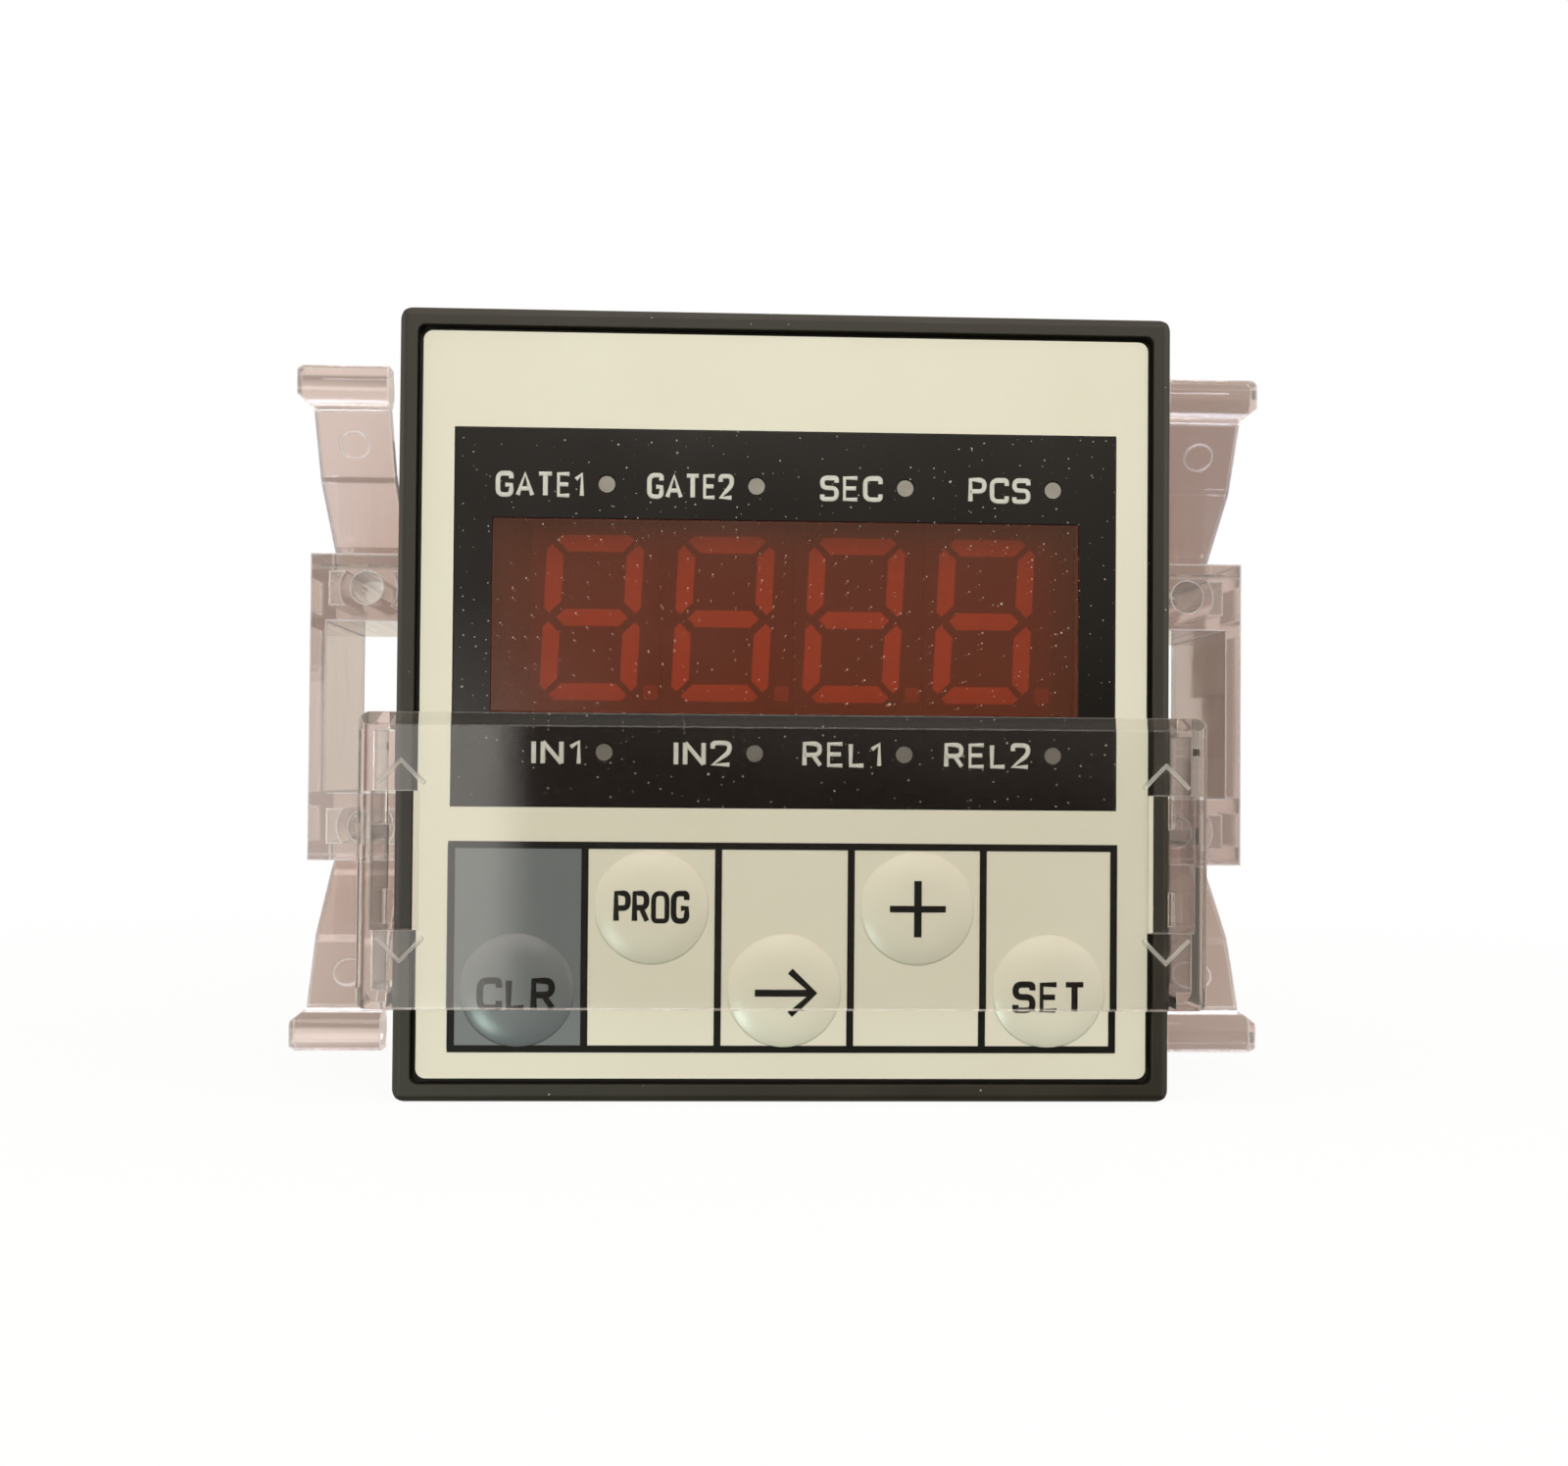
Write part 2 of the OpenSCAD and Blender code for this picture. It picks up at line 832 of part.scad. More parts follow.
module transformer_coil() {
  color(coil_amber)
    under_power_board(core_place[0], core_place[1])
      translate([0, 0, core_size[2] / 2])
        rotate([90, 0, 0])
          cylinder(d = coil_d, h = coil_l + 2 * key_slip, center = true);
}

module capacitors() {
  color(blue_grey)
    for (place = cap_place)
      under_power_board(place[0], place[1])
        cylinder(d = cap_d, h = cap_l);
}

// Undercut groove of the case, or the tongue that rides in it
module groove_outline(neck_w, head_w, x0, x1, x2) {
  translate([x1, -neck_w / 2])
    square([x2 - x1, neck_w]);
  translate([x0, -head_w / 2])
    square([x1 - x0, head_w]);
}

// Sawtooth outline in X and Y, rising from x to x + h, one tooth after another
module saw(x, h, y0, count, depth) {
  polygon(concat(
    [for (i = [0 : count - 1], k = [0, 1]) [x + k * h, y0 + (i + k) * rack_pitch]],
    [[x - depth, y0 + count * rack_pitch], [x - depth, y0]]));
}

module case_rails() {
  rack_root_x = case_side_x - rack_drop - tooth_h;
  for (z = [-groove_z, groove_z])
    limits([groove_in_x, case_side_x - over], [groove_start_y - groove_back, case_d],
      [z - groove_head_w / 2 - groove_side, z + groove_head_w / 2 + groove_side]);
  limits([rack_root_x - rack_back, case_side_x - over], [groove_start_y, case_d],
    [-rack_w / 2 - groove_side, rack_w / 2 + groove_side]);
  for (z = [-1, 1], k = [-1, 1])
    translate([0, 0, z * board_z + k * (board_t / 2 + rail_slip + guide_t / 2)])
      limits([inner_w / 2 - guide_w, inner_w / 2 + over / 2], [guide_start_y, case_d - rear_wall],
        [-guide_t / 2, guide_t / 2]);
}

module case_cuts() {
  head_x = case_side_x - groove_lip - groove_head_t;
  rack_tip_x = case_side_x - rack_drop;
  rack_teeth = floor((case_d - rack_end - rack_start_y) / rack_pitch);
  for (z = [-groove_z, groove_z])
    translate([0, 0, z])
      along_y(groove_start_y, case_d + over)
        groove_outline(mouth_w, groove_head_w, head_x, case_side_x - groove_lip, case_side_x + over);
  difference() {
    limits([rack_tip_x - tooth_h, case_side_x + over], [groove_start_y, case_d + over],
      [-rack_w / 2, rack_w / 2]);
    along_z(-rack_w, rack_w)
      saw(rack_tip_x - tooth_h, tooth_h, rack_start_y, rack_teeth, over);
  }
}

module case() {
  vent_pitch = (inner_w - 2 * guide_w) / (vent_count + 1);
  color(charcoal)
    difference() {
      union() {
        difference() {
          along_y(shoulder_y, case_d)
            round_rect(case_w, case_h, case_r);
          along_y(shoulder_y - over, case_d - rear_wall)
            round_rect(inner_w, inner_h, case_r / 2);
        }
        right_and_left()
          case_rails();
      }
      right_and_left()
        case_cuts();
      above_and_below() {
        along_y(case_d - rear_wall - over, case_d + over)
          translate([0, slot_z])
            square([block_w - 2 * slot_inset, slot_h], center = true);
        for (i = [1 : vent_count])
          translate([(i - (vent_count + 1) / 2) * vent_pitch, case_d / 2 - vent_l / 2, 0])
            limits([-vent_w / 2, vent_w / 2], [0, vent_l], [inner_h / 2 - over, case_h]);
        right_and_left()
          limits([nub_x - nub_w / 2 - slip, nub_x + nub_w / 2 + slip], [nub_y[0] - slip, nub_y[1] + slip],
            [inner_h / 2 - over, case_h]);
      }
      right_and_left()
        bar_y(case_screw_d, case_d - rear_wall - over, case_d + over, case_screw_x, 0);
    }
}

module terminal_block() {
  color(black)
    difference() {
      union() {
        along_y(case_d, floor_y)
          square([block_w, block_h], center = true);
        along_y(case_d, case_d + spine_d)
          square([block_w, spine_h], center = true);
        for (i = [0 : terminal_count])
          translate([terminal_place(i) - terminal_pitch / 2, 0, 0])
            along_y(case_d, case_d + barrier_d)
              square([barrier_t, block_h], center = true);
      }
      at_terminals() {
        bar_y(screw_d + 2 * screw_slip, floor_y + plate_t - screw_l, floor_y + over, 0, terminal_z);
        limits([-tail_w / 2 - slip, tail_w / 2 + slip], [case_d - over, floor_y + over],
          [board_z + board_t / 2 - slip, board_z + board_t / 2 + plate_t + slip]);
      }
      right_and_left() {
        bar_y(case_screw_d + 2 * screw_slip, case_d - over, case_d + spine_d + over, case_screw_x, 0);
        bar_y(case_screw_head[0] + 2 * screw_slip, case_d + spine_d - 2 * case_screw_head[1],
          case_d + spine_d + over, case_screw_x, 0);
      }
    }
}

module terminal_plates() {
  color(brass)
    at_terminals()
      difference() {
        union() {
          limits([-plate_w / 2, plate_w / 2], [floor_y, floor_y + plate_t], plate_z);
          limits([-tail_w / 2, tail_w / 2], [floor_y - tail_l, floor_y + plate_t],
            [board_z + board_t / 2, board_z + board_t / 2 + plate_t]);
        }
        bar_y(screw_d + 2 * screw_slip, floor_y - over, floor_y + plate_t + over, 0, terminal_z);
      }
}

module terminal_washers() {
  color(steel)
    at_terminals()
      difference() {
        along_y(floor_y + plate_t, floor_y + plate_t + washer_t)
          translate([0, terminal_z])
            square([washer_w, washer_w], center = true);
        bar_y(screw_d + 2 * screw_slip, floor_y, floor_y + plate_t + washer_t + over, 0, terminal_z);
      }
}

// Pan-head screw along Y, its head towards the rear, with a cross recess
module pan_screw(d, l, head, head_h) {
  recess = [head * 0.62, 1];
  bar_y(d, -l, 0);
  difference() {
    bar_y(head, 0, head_h);
    for (a = [0, 90])
      rotate([0, a, 0])
        limits([-recess[0] / 2, recess[0] / 2], [head_h / 2, head_h + over],
          [-recess[1] / 2, recess[1] / 2]);
  }
}

module terminal_screws() {
  seat_y = floor_y + plate_t + washer_t;
  color(steel)
    at_terminals()
      translate([0, seat_y, terminal_z])
        pan_screw(screw_d, screw_l + washer_t - over / 2, terminal_head_d, screw_head_h);
}

module case_screws() {
  seat_y = case_d + spine_d - 2 * case_screw_head[1];
  color(steel)
    right_and_left()
      translate([case_screw_x, seat_y, 0])
        pan_screw(case_screw_d - 2 * screw_slip, seat_y - case_d + rear_wall,
          case_screw_head[0], case_screw_head[1]);
}

// Lip seen from the side: a flat top on a bar whose front rolls under
module lip_side() {
  nose_d = lip_set + arm_t / 2;
  translate([bracket_set, lip_z - lip_h]) {
    translate([lip_nose_r, lip_nose_r])
      circle(lip_nose_r);
    translate([lip_nose_r, 0])
      square([nose_d - lip_nose_r, lip_h]);
    translate([0, lip_nose_r])
      square([nose_d, lip_h - lip_nose_r - lip_edge_r]);
    translate([lip_edge_r, lip_h - lip_edge_r])
      circle(lip_edge_r);
    translate([lip_edge_r, lip_h - lip_t])
      square([lip_top_d - lip_edge_r, lip_t]);
  }
}

// Leaf arm: a bent strip that ends in the lip, seen from the side
module arm_side() {
  polygon(ribbon(arm_path, arm_t));
  lip_side();
}

// The arm seen from the front: a straight leaf that flares out under the lip
module arm_front_view() {
  polygon([
    [arm_in_x, 0], [arm_out_x, 0], [arm_out_x, lip_z - lip_h], [lip_x, lip_z - lip_end_h],
    [lip_x, lip_z - lip_edge_r], [lip_x - lip_edge_r, lip_z], [arm_in_x, lip_z]]);
}

module bracket_arm() {
  intersection() {
    along_x(arm_in_x - over, lip_x + over)
      arm_side();
    along_y(bracket_set - over, bracket_end_y)
      arm_front_view();
  }
  eject_mark();
}

// Round ejector mark on the front of the arm, half way along its steep part
module eject_mark() {
  a = arm_path[2];
  b = arm_path[3];
  lean = atan2(b[1] - a[1], a[0] - b[0]);
  translate([(arm_in_x + arm_out_x) / 2, (a[0] + b[0]) / 2, (a[1] + b[1]) / 2])
    rotate([180 - lean, 0, 0])
      translate([0, 0, arm_t / 2 - over / 2])
        cylinder(d = eject_d, h = eject_t + over / 2);
}

// Hollow head with the bore for a clamp screw
module clamp_head() {
  z0 = bracket_h / 2 - head_h;
  difference() {
    union() {
      difference() {
        limits([base_out_x - over / 2, bracket_x], [bracket_set, bracket_end_y], [z0, bracket_h / 2]);
        limits([base_out_x + bracket_wall, bracket_x - bracket_wall],
          [bracket_set + bracket_wall, bracket_end_y + over],
          [z0 + bracket_wall, bracket_h / 2 - bracket_wall]);
      }
      bar_y(clamp_boss_d, bracket_set, bracket_end_y, clamp_x, clamp_z);
    }
    bar_y(clamp_bore_d, bracket_set - over, bracket_end_y + over, clamp_x, clamp_z);
  }
}

// Base plate with the tongues that ride in the case and the ratchet pawl
module bracket_base() {
  tongue_x = case_side_x - groove_lip - pawl_slip;
  difference() {
    limits([base_x, base_out_x], [bracket_set, bracket_end_y], [-bracket_h / 2, bracket_h / 2]);
    for (z = [-1, 1])
      translate([0, 0, z * (pawl_w / 2 + pawl_slit / 2)])
        limits([base_x - over, base_out_x + over], pawl_y, [-pawl_slit / 2, pawl_slit / 2]);
    limits([base_x - over, base_out_x + over], [pawl_y[1] - pawl_slit, pawl_y[1]],
      [-pawl_w / 2 - pawl_slit, pawl_w / 2 + pawl_slit]);
  }
  above_and_below()
    translate([0, 0, groove_z])
      along_y(bracket_set, bracket_end_y)
        groove_outline(tongue_neck_w, tongue_head_w, tongue_x - tongue_head_t, tongue_x, base_x + over / 2);
  along_z(-pawl_w / 2, pawl_w / 2)
    mirror([1, 0])
      saw(-base_x, pawl_tooth_h, pawl_y[1] - pawl_slit - pawl_end - pawl_teeth * rack_pitch,
        pawl_teeth, bracket_wall / 2);
}

module bracket() {
  bracket_base();
  above_and_below() {
    clamp_head();
    bracket_arm();
  }
  limits([bracket_x - bracket_wall, bracket_x], [bracket_set, bracket_end_y],
    [-bracket_h / 2, bracket_h / 2]);
}

module bracket_right() {
  color(clear_pink)
    bracket();
}

module bracket_left() {
  color(clear_pink)
    mirror([1, 0, 0])
      bracket();
}

// Raised arrow on the cover, its point towards +Z
module chevron() {
  p = [[-chevron_w / 2, 0], [0, chevron_h], [chevron_w / 2, 0]];
  polygon(ribbon(p, chevron_line));
}

// Channel section of the cover, its outer front edges rounded
module cover_section() {
  difference() {
    translate([0, cover_end_y])
      round_front(cover_w, cover_end_y - cover_y, cover_edge_r);
    translate([-cover_in_x, cover_back_y])
      square([2 * cover_in_x, 2 * bezel_d]);
    translate([-cover_w, cover_end_y])
      square([2 * cover_w, over * 2]);
  }
}

// Channel with a web at each end of its side walls, the plan's corners rounded
module cover_body() {
  top = cover_h / 2;
  intersection() {
    union() {
      along_z(-top, top)
        cover_section();
      right_and_left()
        above_and_below()
          limits([bezel_w / 2 + hook_slip, cover_in_x + over / 2], [cover_back_y - over / 2, cover_end_y],
            [top - end_web, top]);
    }
    along_y(cover_y - over, cover_end_y + over)
      round_rect(cover_w, cover_h, cover_r);
  }
}

// Opening in front of the hooks, its inner edge bevelled
module cover_opening() {
  along_z(-hook_l / 2, hook_l / 2)
    polygon([
      [opening_x - opening_bevel, cover_y - over], [opening_x - opening_bevel, cover_y],
      [opening_x, cover_y + opening_bevel], [opening_x, cover_back_y + over],
      [cover_in_x, cover_back_y + over], [cover_in_x, cover_y - over]]);
}

module slide_cover() {
  top = cover_h / 2;
  color(clear_pink)
    translate([0, 0, cover_z]) {
      difference() {
        cover_body();
        along_x(-cover_w, cover_w)
          polygon([
            [cover_y - over, top + over], [cover_y - over, top - cover_bevel[1]],
            [cover_y, top - cover_bevel[1]], [cover_y + cover_bevel[0], top],
            [cover_y + cover_bevel[0], top + over]]);
        right_and_left()
          cover_opening();
      }
      right_and_left()
        above_and_below() {
          limits([track_x + rail_slip, cover_in_x + over / 2], hook_y, [hook_l / 2 - hook_tab, hook_l / 2]);
          along_y(cover_y - chevron_t, cover_y + over / 2)
            translate([chevron_x, hook_l / 2 + chevron_off])
              chevron();
        }
    }
}

bezel();
front_sheet();
display_window();
display_filter();
digit(0);  // digit_1
digit(1);  // digit_2
digit(2);  // digit_3
digit(3);  // digit_4
segments(0);  // segments_1
segments(1);  // segments_2
segments(2);  // segments_3
segments(3);  // segments_4
light_pipes();
indicator_leds();
key(0);  // key_1
key(1);  // key_2
key(2);  // key_3
key(3);  // key_4
key(4);  // key_5
plunger(0);  // plunger_1
plunger(1);  // plunger_2
plunger(2);  // plunger_3
plunger(3);  // plunger_4
plunger(4);  // plunger_5
key_switches();
display_board();
board_screws();
main_board();
power_board();
board_headers();
microcontroller();
relay(-1);  // relay_1
relay(1);  // relay_2
transformer_core();
transformer_coil();
capacitors();
case();
terminal_block();
terminal_plates();
terminal_washers();
terminal_screws();
case_screws();
bracket_left();
bracket_right();
slide_cover();
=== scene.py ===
# Panel counter: finishes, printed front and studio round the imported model
import math

import bmesh
import bpy
from mathutils import Matrix, Vector


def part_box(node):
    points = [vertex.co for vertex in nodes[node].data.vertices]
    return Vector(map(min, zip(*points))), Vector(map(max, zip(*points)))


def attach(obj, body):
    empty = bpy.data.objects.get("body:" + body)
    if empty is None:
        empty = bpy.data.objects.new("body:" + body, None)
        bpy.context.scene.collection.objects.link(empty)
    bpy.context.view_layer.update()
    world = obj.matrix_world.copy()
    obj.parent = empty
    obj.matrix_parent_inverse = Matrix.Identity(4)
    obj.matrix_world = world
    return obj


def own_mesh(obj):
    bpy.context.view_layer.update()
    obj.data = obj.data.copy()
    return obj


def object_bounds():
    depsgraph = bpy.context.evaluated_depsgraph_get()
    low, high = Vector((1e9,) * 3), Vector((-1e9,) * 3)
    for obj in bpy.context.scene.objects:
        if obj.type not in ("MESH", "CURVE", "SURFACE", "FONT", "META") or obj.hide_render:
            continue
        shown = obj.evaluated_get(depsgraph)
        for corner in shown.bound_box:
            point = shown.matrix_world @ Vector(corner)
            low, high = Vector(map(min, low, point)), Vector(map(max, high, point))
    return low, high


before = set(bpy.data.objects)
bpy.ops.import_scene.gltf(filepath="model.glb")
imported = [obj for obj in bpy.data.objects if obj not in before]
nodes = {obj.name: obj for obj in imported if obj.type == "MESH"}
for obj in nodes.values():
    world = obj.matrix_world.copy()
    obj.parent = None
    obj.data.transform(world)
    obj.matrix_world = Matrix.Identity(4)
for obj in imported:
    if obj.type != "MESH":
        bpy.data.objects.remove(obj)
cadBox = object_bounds()
mm = 0.001


def linear(hexColour):
    channels = [int(hexColour[i:i + 2], 16) / 255 for i in (1, 3, 5)]
    return [c / 12.92 if c <= 0.04045 else ((c + 0.055) / 1.055) ** 2.4 for c in channels] + [1]


def perMm(sizeMm):
    return 1 / (sizeMm * mm)  # texture scale whose features are this many millimetres across


def addNode(tree, kind, values=None, links=None, **options):
    # a link takes a socket, or a node whose first output is meant
    node = tree.nodes.new("ShaderNode" + kind)
    for name, value in options.items():
        setattr(node, name, value)
    inputs = {key: socket for place, socket in reversed(list(enumerate(node.inputs)))
              for key in (place, socket.name) if socket.enabled}
    for name, value in (values or {}).items():
        inputs[name].default_value = value
    for name, source in (links or {}).items():
        if isinstance(source, bpy.types.Node):
            source = next(socket for socket in source.outputs if socket.enabled)
        tree.links.new(source, inputs[name])
    return node


def startMaterial(name):
    material = bpy.data.materials.new(name)
    material.use_nodes = True
    tree = material.node_tree
    tree.nodes.clear()
    coords = addNode(tree, "TexCoord")
    return material, tree, coords.outputs["Object"]


def noiseBetween(tree, place, sizeMm, low, high, detail=2):
    # soft variation between two numbers, with blotches of the given size
    noise = addNode(tree, "TexNoise", {"Scale": perMm(sizeMm), "Detail": detail}, {"Vector": place})
    return addNode(tree, "MapRange", {"From Min": 0.3, "From Max": 0.7, "To Min": low, "To Max": high},
                   {"Value": noise})


def twoTone(tree, place, sizeMm, first, second):
    share = noiseBetween(tree, place, sizeMm, 0, 1, detail=4)
    return addNode(tree, "Mix", {"A": linear(first), "B": linear(second)}, {"Factor": share},
                   data_type="RGBA")


def dustSpecks(tree, place, dust):
    # settled dust: grains and short fibres in some cells of a random grid, each with its own size and tone
    found = None
    for grain in dust["grains"]:
        facing = addNode(tree, "Mapping", {"Rotation": (math.pi / 2, 0, grain["turn"]),
                                           "Scale": (1, grain["stretch"], 1)}, {"Vector": place})
        cells = addNode(tree, "TexVoronoi", {"Scale": perMm(grain["spacingMm"])}, {"Vector": facing},
                        voronoi_dimensions=dust["grid"])
        draw = addNode(tree, "SeparateColor", links={"Color": cells.outputs["Color"]})
        radius = addNode(tree, "MapRange",
                         {"From Min": 1 - grain["share"], "From Max": 1, "To Min": 0,
                          "To Max": grain["largestMm"] / grain["spacingMm"] / 2},
                         {"Value": draw.outputs["Red"]})
        spot = addNode(tree, "Math", links={0: cells.outputs["Distance"], 1: radius},
                       operation="LESS_THAN")
        pale = addNode(tree, "MapRange", {"To Min": dust["faintest"], "To Max": 1},
                       {"Value": draw.outputs["Green"]})
        spot = addNode(tree, "Math", links={0: spot, 1: pale}, operation="MULTIPLY")
        found = addNode(tree, "Math", links={0: spot, 1: found}, operation="MAXIMUM") if found else spot
    return found


def grainNormal(tree, place, grainMm, depthMm, edgeMm=0):
    # moulded edges are never sharp, so the normal turns over the edge before the grain is added, which is
    # drawn coarser than on the real surface so that it shows
    grain = addNode(tree, "TexNoise", {"Scale": perMm(grainMm), "Detail": 3}, {"Vector": place})
    links = {"Height": grain}
    if edgeMm:
        links["Normal"] = addNode(tree, "Bevel", {"Radius": edgeMm * mm}, samples=4)
    return addNode(tree, "Bump", {"Distance": depthMm * mm, "Strength": 1}, links)


def within(tree, place, spans):
    # 1 where each named axis lies within half a width of its middle, both in millimetres
    axes = addNode(tree, "SeparateXYZ", links={"Vector": place})
    found = None
    for axis, (middle, half) in spans.items():
        inside = addNode(tree, "Math", {1: middle * mm, 2: half * mm}, {0: axes.outputs[axis]},
                         operation="COMPARE")
        if found:
            inside = addNode(tree, "Math", links={0: inside, 1: found}, operation="MULTIPLY")
        found = inside
    return found


def mouldedPlastic(name, look):
    material, tree, place = startMaterial(name)
    colour = twoTone(tree, place, look["blotchMm"], *look["colours"])
    for spans in look.get("dullSpots", []):
        colour = addNode(tree, "Mix", {"B": linear(look["dull"])},
                         {"Factor": within(tree, place, spans), "A": colour}, data_type="RGBA")
    if "dust" in look:
        specks = dustSpecks(tree, place, look["dust"])
        colour = addNode(tree, "Mix", {"B": linear(look["dust"]["colour"])},
                         {"Factor": specks, "A": colour}, data_type="RGBA")
    rough = noiseBetween(tree, place, look["blotchMm"], *look["roughness"])
    normal = grainNormal(tree, place, look["grainMm"], look["grainDepthMm"], look["edgeMm"])
    surface = addNode(tree, "BsdfPrincipled", {"IOR": look["ior"]},
                      {"Base Color": colour, "Roughness": rough, "Normal": normal})
    addNode(tree, "OutputMaterial", links={"Surface": surface})
    return material


def clearPlastic(name, look):
    # glass for the eye and a tinted film for lamps, so that light still reaches what lies behind
    material, tree, place = startMaterial(name)
    rough = noiseBetween(tree, place, look["blotchMm"], *look["roughness"])
    normal = grainNormal(tree, place, look["waveMm"], look["waveDepthMm"], look["edgeMm"])
    shown = addNode(tree, "BsdfPrincipled",
                    {"Base Color": linear(look["tint"]), "IOR": look["ior"],
                     "Transmission Weight": look["transmission"]},
                    {"Roughness": rough, "Normal": normal})
    if "dust" in look:
        grit = addNode(tree, "BsdfDiffuse", {"Color": linear(look["dust"]["colour"])})
        shown = addNode(tree, "MixShader",
                        links={0: dustSpecks(tree, place, look["dust"]), 1: shown, 2: grit})
    if "raised" in look:
        # moulded marks in front of the plate come matt from an etched tool
        axes = addNode(tree, "SeparateXYZ", links={"Vector": place})
        proud = addNode(tree, "Math", {1: look["raised"]["beforeY"]}, {0: axes.outputs["Y"]},
                        operation="LESS_THAN")
        proud = addNode(tree, "Math", {1: look["raised"]["share"]}, {0: proud}, operation="MULTIPLY")
        matt = addNode(tree, "BsdfDiffuse", {"Color": linear(look["raised"]["colour"])})
        shown = addNode(tree, "MixShader", links={0: proud, 1: shown, 2: matt})
    if "paintedEdgeHighlight" in look:
        # painted highlight: pale diffuse lines on the edges, mixed in where the turned normal leaves the
        # true one
        turned = addNode(tree, "Bevel", {"Radius": look["edgeMm"] * mm}, samples=4)
        flat = addNode(tree, "NewGeometry")
        along = addNode(tree, "VectorMath", links={0: turned, 1: flat.outputs["True Normal"]},
                        operation="DOT_PRODUCT")
        edge = addNode(tree, "MapRange", {"From Min": look["paintedEdgeHighlight"]["begins"],
                                          "From Max": look["paintedEdgeHighlight"]["full"], "To Min": 0,
                                          "To Max": look["paintedEdgeHighlight"]["share"]},
                       {"Value": along.outputs["Value"]})
        paintedHighlight = addNode(tree, "BsdfDiffuse", {"Color": linear(look["paintedEdgeHighlight"]["colour"])})
        shown = addNode(tree, "MixShader", links={0: edge, 1: shown, 2: paintedHighlight})
    rays = addNode(tree, "LightPath")
    lighting = addNode(tree, "Math", links={0: rays.outputs["Is Shadow Ray"],
                                            1: rays.outputs["Is Diffuse Ray"]}, operation="MAXIMUM")
    film = addNode(tree, "BsdfTransparent", {"Color": linear(look["shade"])})
    through = addNode(tree, "MixShader", links={0: lighting, 1: shown, 2: film})
    links = {"Surface": through}
    if "absorb" in look:
        links["Volume"] = addNode(tree, "VolumeAbsorption", {"Color": linear(look["absorb"]),
                                                             "Density": look["absorbPerM"]})
    addNode(tree, "OutputMaterial", links=links)
    return material


def metalFinish(name, look):
    material, tree, place = startMaterial(name)
    colour = twoTone(tree, place, look["blotchMm"], *look["colours"])
    rough = noiseBetween(tree, place, look["blotchMm"], *look["roughness"])
    normal = grainNormal(tree, place, look["grainMm"], look["grainDepthMm"], look["edgeMm"])
    surface = addNode(tree, "BsdfPrincipled", {"Metallic": 1},
                      {"Base Color": colour, "Roughness": rough, "Normal": normal})
    addNode(tree, "OutputMaterial", links={"Surface": surface})
    return material


# pale grit and lint, sparse enough to read as single specks on the dark faces
houseDust = dict(colour="#d0cabf", grid="2D", faintest=0.4, grains=[
    dict(spacingMm=1.15, largestMm=0.16, share=0.55, stretch=1, turn=0),
    dict(spacingMm=4.5, largestMm=0.24, share=0.5, stretch=0.8, turn=0.4),
    dict(spacingMm=3.6, largestMm=0.16, share=0.22, stretch=0.22, turn=0.7)])

# ABS moulded in a spark-eroded tool: charcoal, satin, softly rounded edges that catch a line of light
absCharcoal = mouldedPlastic("absCharcoalMoulded", dict(
    colours=("#221c11", "#282215"), blotchMm=9, roughness=(0.44, 0.54), ior=1.53,
    grainMm=0.3, grainDepthMm=0.004, edgeMm=0.15,
    dust=dict(houseDust, grid="3D")))

# ABS again, spark eroded coarser for a hidden case: dull, with a soft sheen on top
absCase = mouldedPlastic("absCaseMoulded", dict(
    colours=("#4b4842", "#55524b"), blotchMm=12, roughness=(0.45, 0.58), ior=1.53,
    grainMm=0.45, grainDepthMm=0.012, edgeMm=0.2))

# PBT, glass filled and moulded: near black and a little glossy
pbtBlack = mouldedPlastic("pbtBlackMoulded", dict(
    colours=("#222224", "#2a2a2b"), blotchMm=7, roughness=(0.34, 0.48), ior=1.55,
    grainMm=0.4, grainDepthMm=0.006, edgeMm=0.15))

# epoxy moulded round chips and digits: flat dark grey
epoxyBlack = mouldedPlastic("epoxyMouldedBlack", dict(
    colours=("#252526", "#303031"), blotchMm=3, roughness=(0.5, 0.62), ior=1.55,
    grainMm=0.12, grainDepthMm=0.004, edgeMm=0.08))

# milky epoxy cast in the digits: pale bars, and a duller decimal point at the foot of each
pointMm = dict(inset=0.7, halfWide=0.75, halfHigh=1)
segmentBoxes = [[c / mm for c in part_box(f"segments_{number}")] for number in range(1, 5)]
segmentEpoxy = mouldedPlastic("epoxyMilkyCast", dict(
    colours=("#b9aea9", "#c2b8b3"), blotchMm=2, roughness=(0.35, 0.45), ior=1.53,
    grainMm=0.3, grainDepthMm=0.002, edgeMm=0.05, dull="#857873",
    dullSpots=[{"X": (high.x - pointMm["inset"], pointMm["halfWide"]),
                "Z": (low.z + pointMm["inset"], pointMm["halfHigh"])} for low, high in segmentBoxes]))

# polyamide moulded in a polished tool: blue relay caps with a clear highlight
relayBlue = mouldedPlastic("polyamideBlueMoulded", dict(
    colours=("#24456f", "#2c4f7c"), blotchMm=6, roughness=(0.3, 0.42), ior=1.53,
    grainMm=0.35, grainDepthMm=0.005, edgeMm=0.15))

# PVC shrunk over the capacitors: dark blue, glossy and slightly wavy
sleeveBlue = mouldedPlastic("pvcSleeveShrunk", dict(
    colours=("#1e2f55", "#263862"), blotchMm=4, roughness=(0.22, 0.34), ior=1.54,
    grainMm=0.8, grainDepthMm=0.006, edgeMm=0.2))

# ferrite, pressed and sintered: dark grey, dry and grainy
ferriteGrey = mouldedPlastic("ferriteSintered", dict(
    colours=("#2c2c2e", "#3a3a3c"), blotchMm=1.5, roughness=(0.55, 0.75), ior=1.6,
    grainMm=0.15, grainDepthMm=0.01, edgeMm=0.2))

# polyester tape wound on the coil: amber, glossy, with soft ridges
coilTape = mouldedPlastic("polyesterTapeWound", dict(
    colours=("#b98a2c", "#c8993c"), blotchMm=2.5, roughness=(0.2, 0.32), ior=1.6,
    grainMm=0.7, grainDepthMm=0.01, edgeMm=0.1))

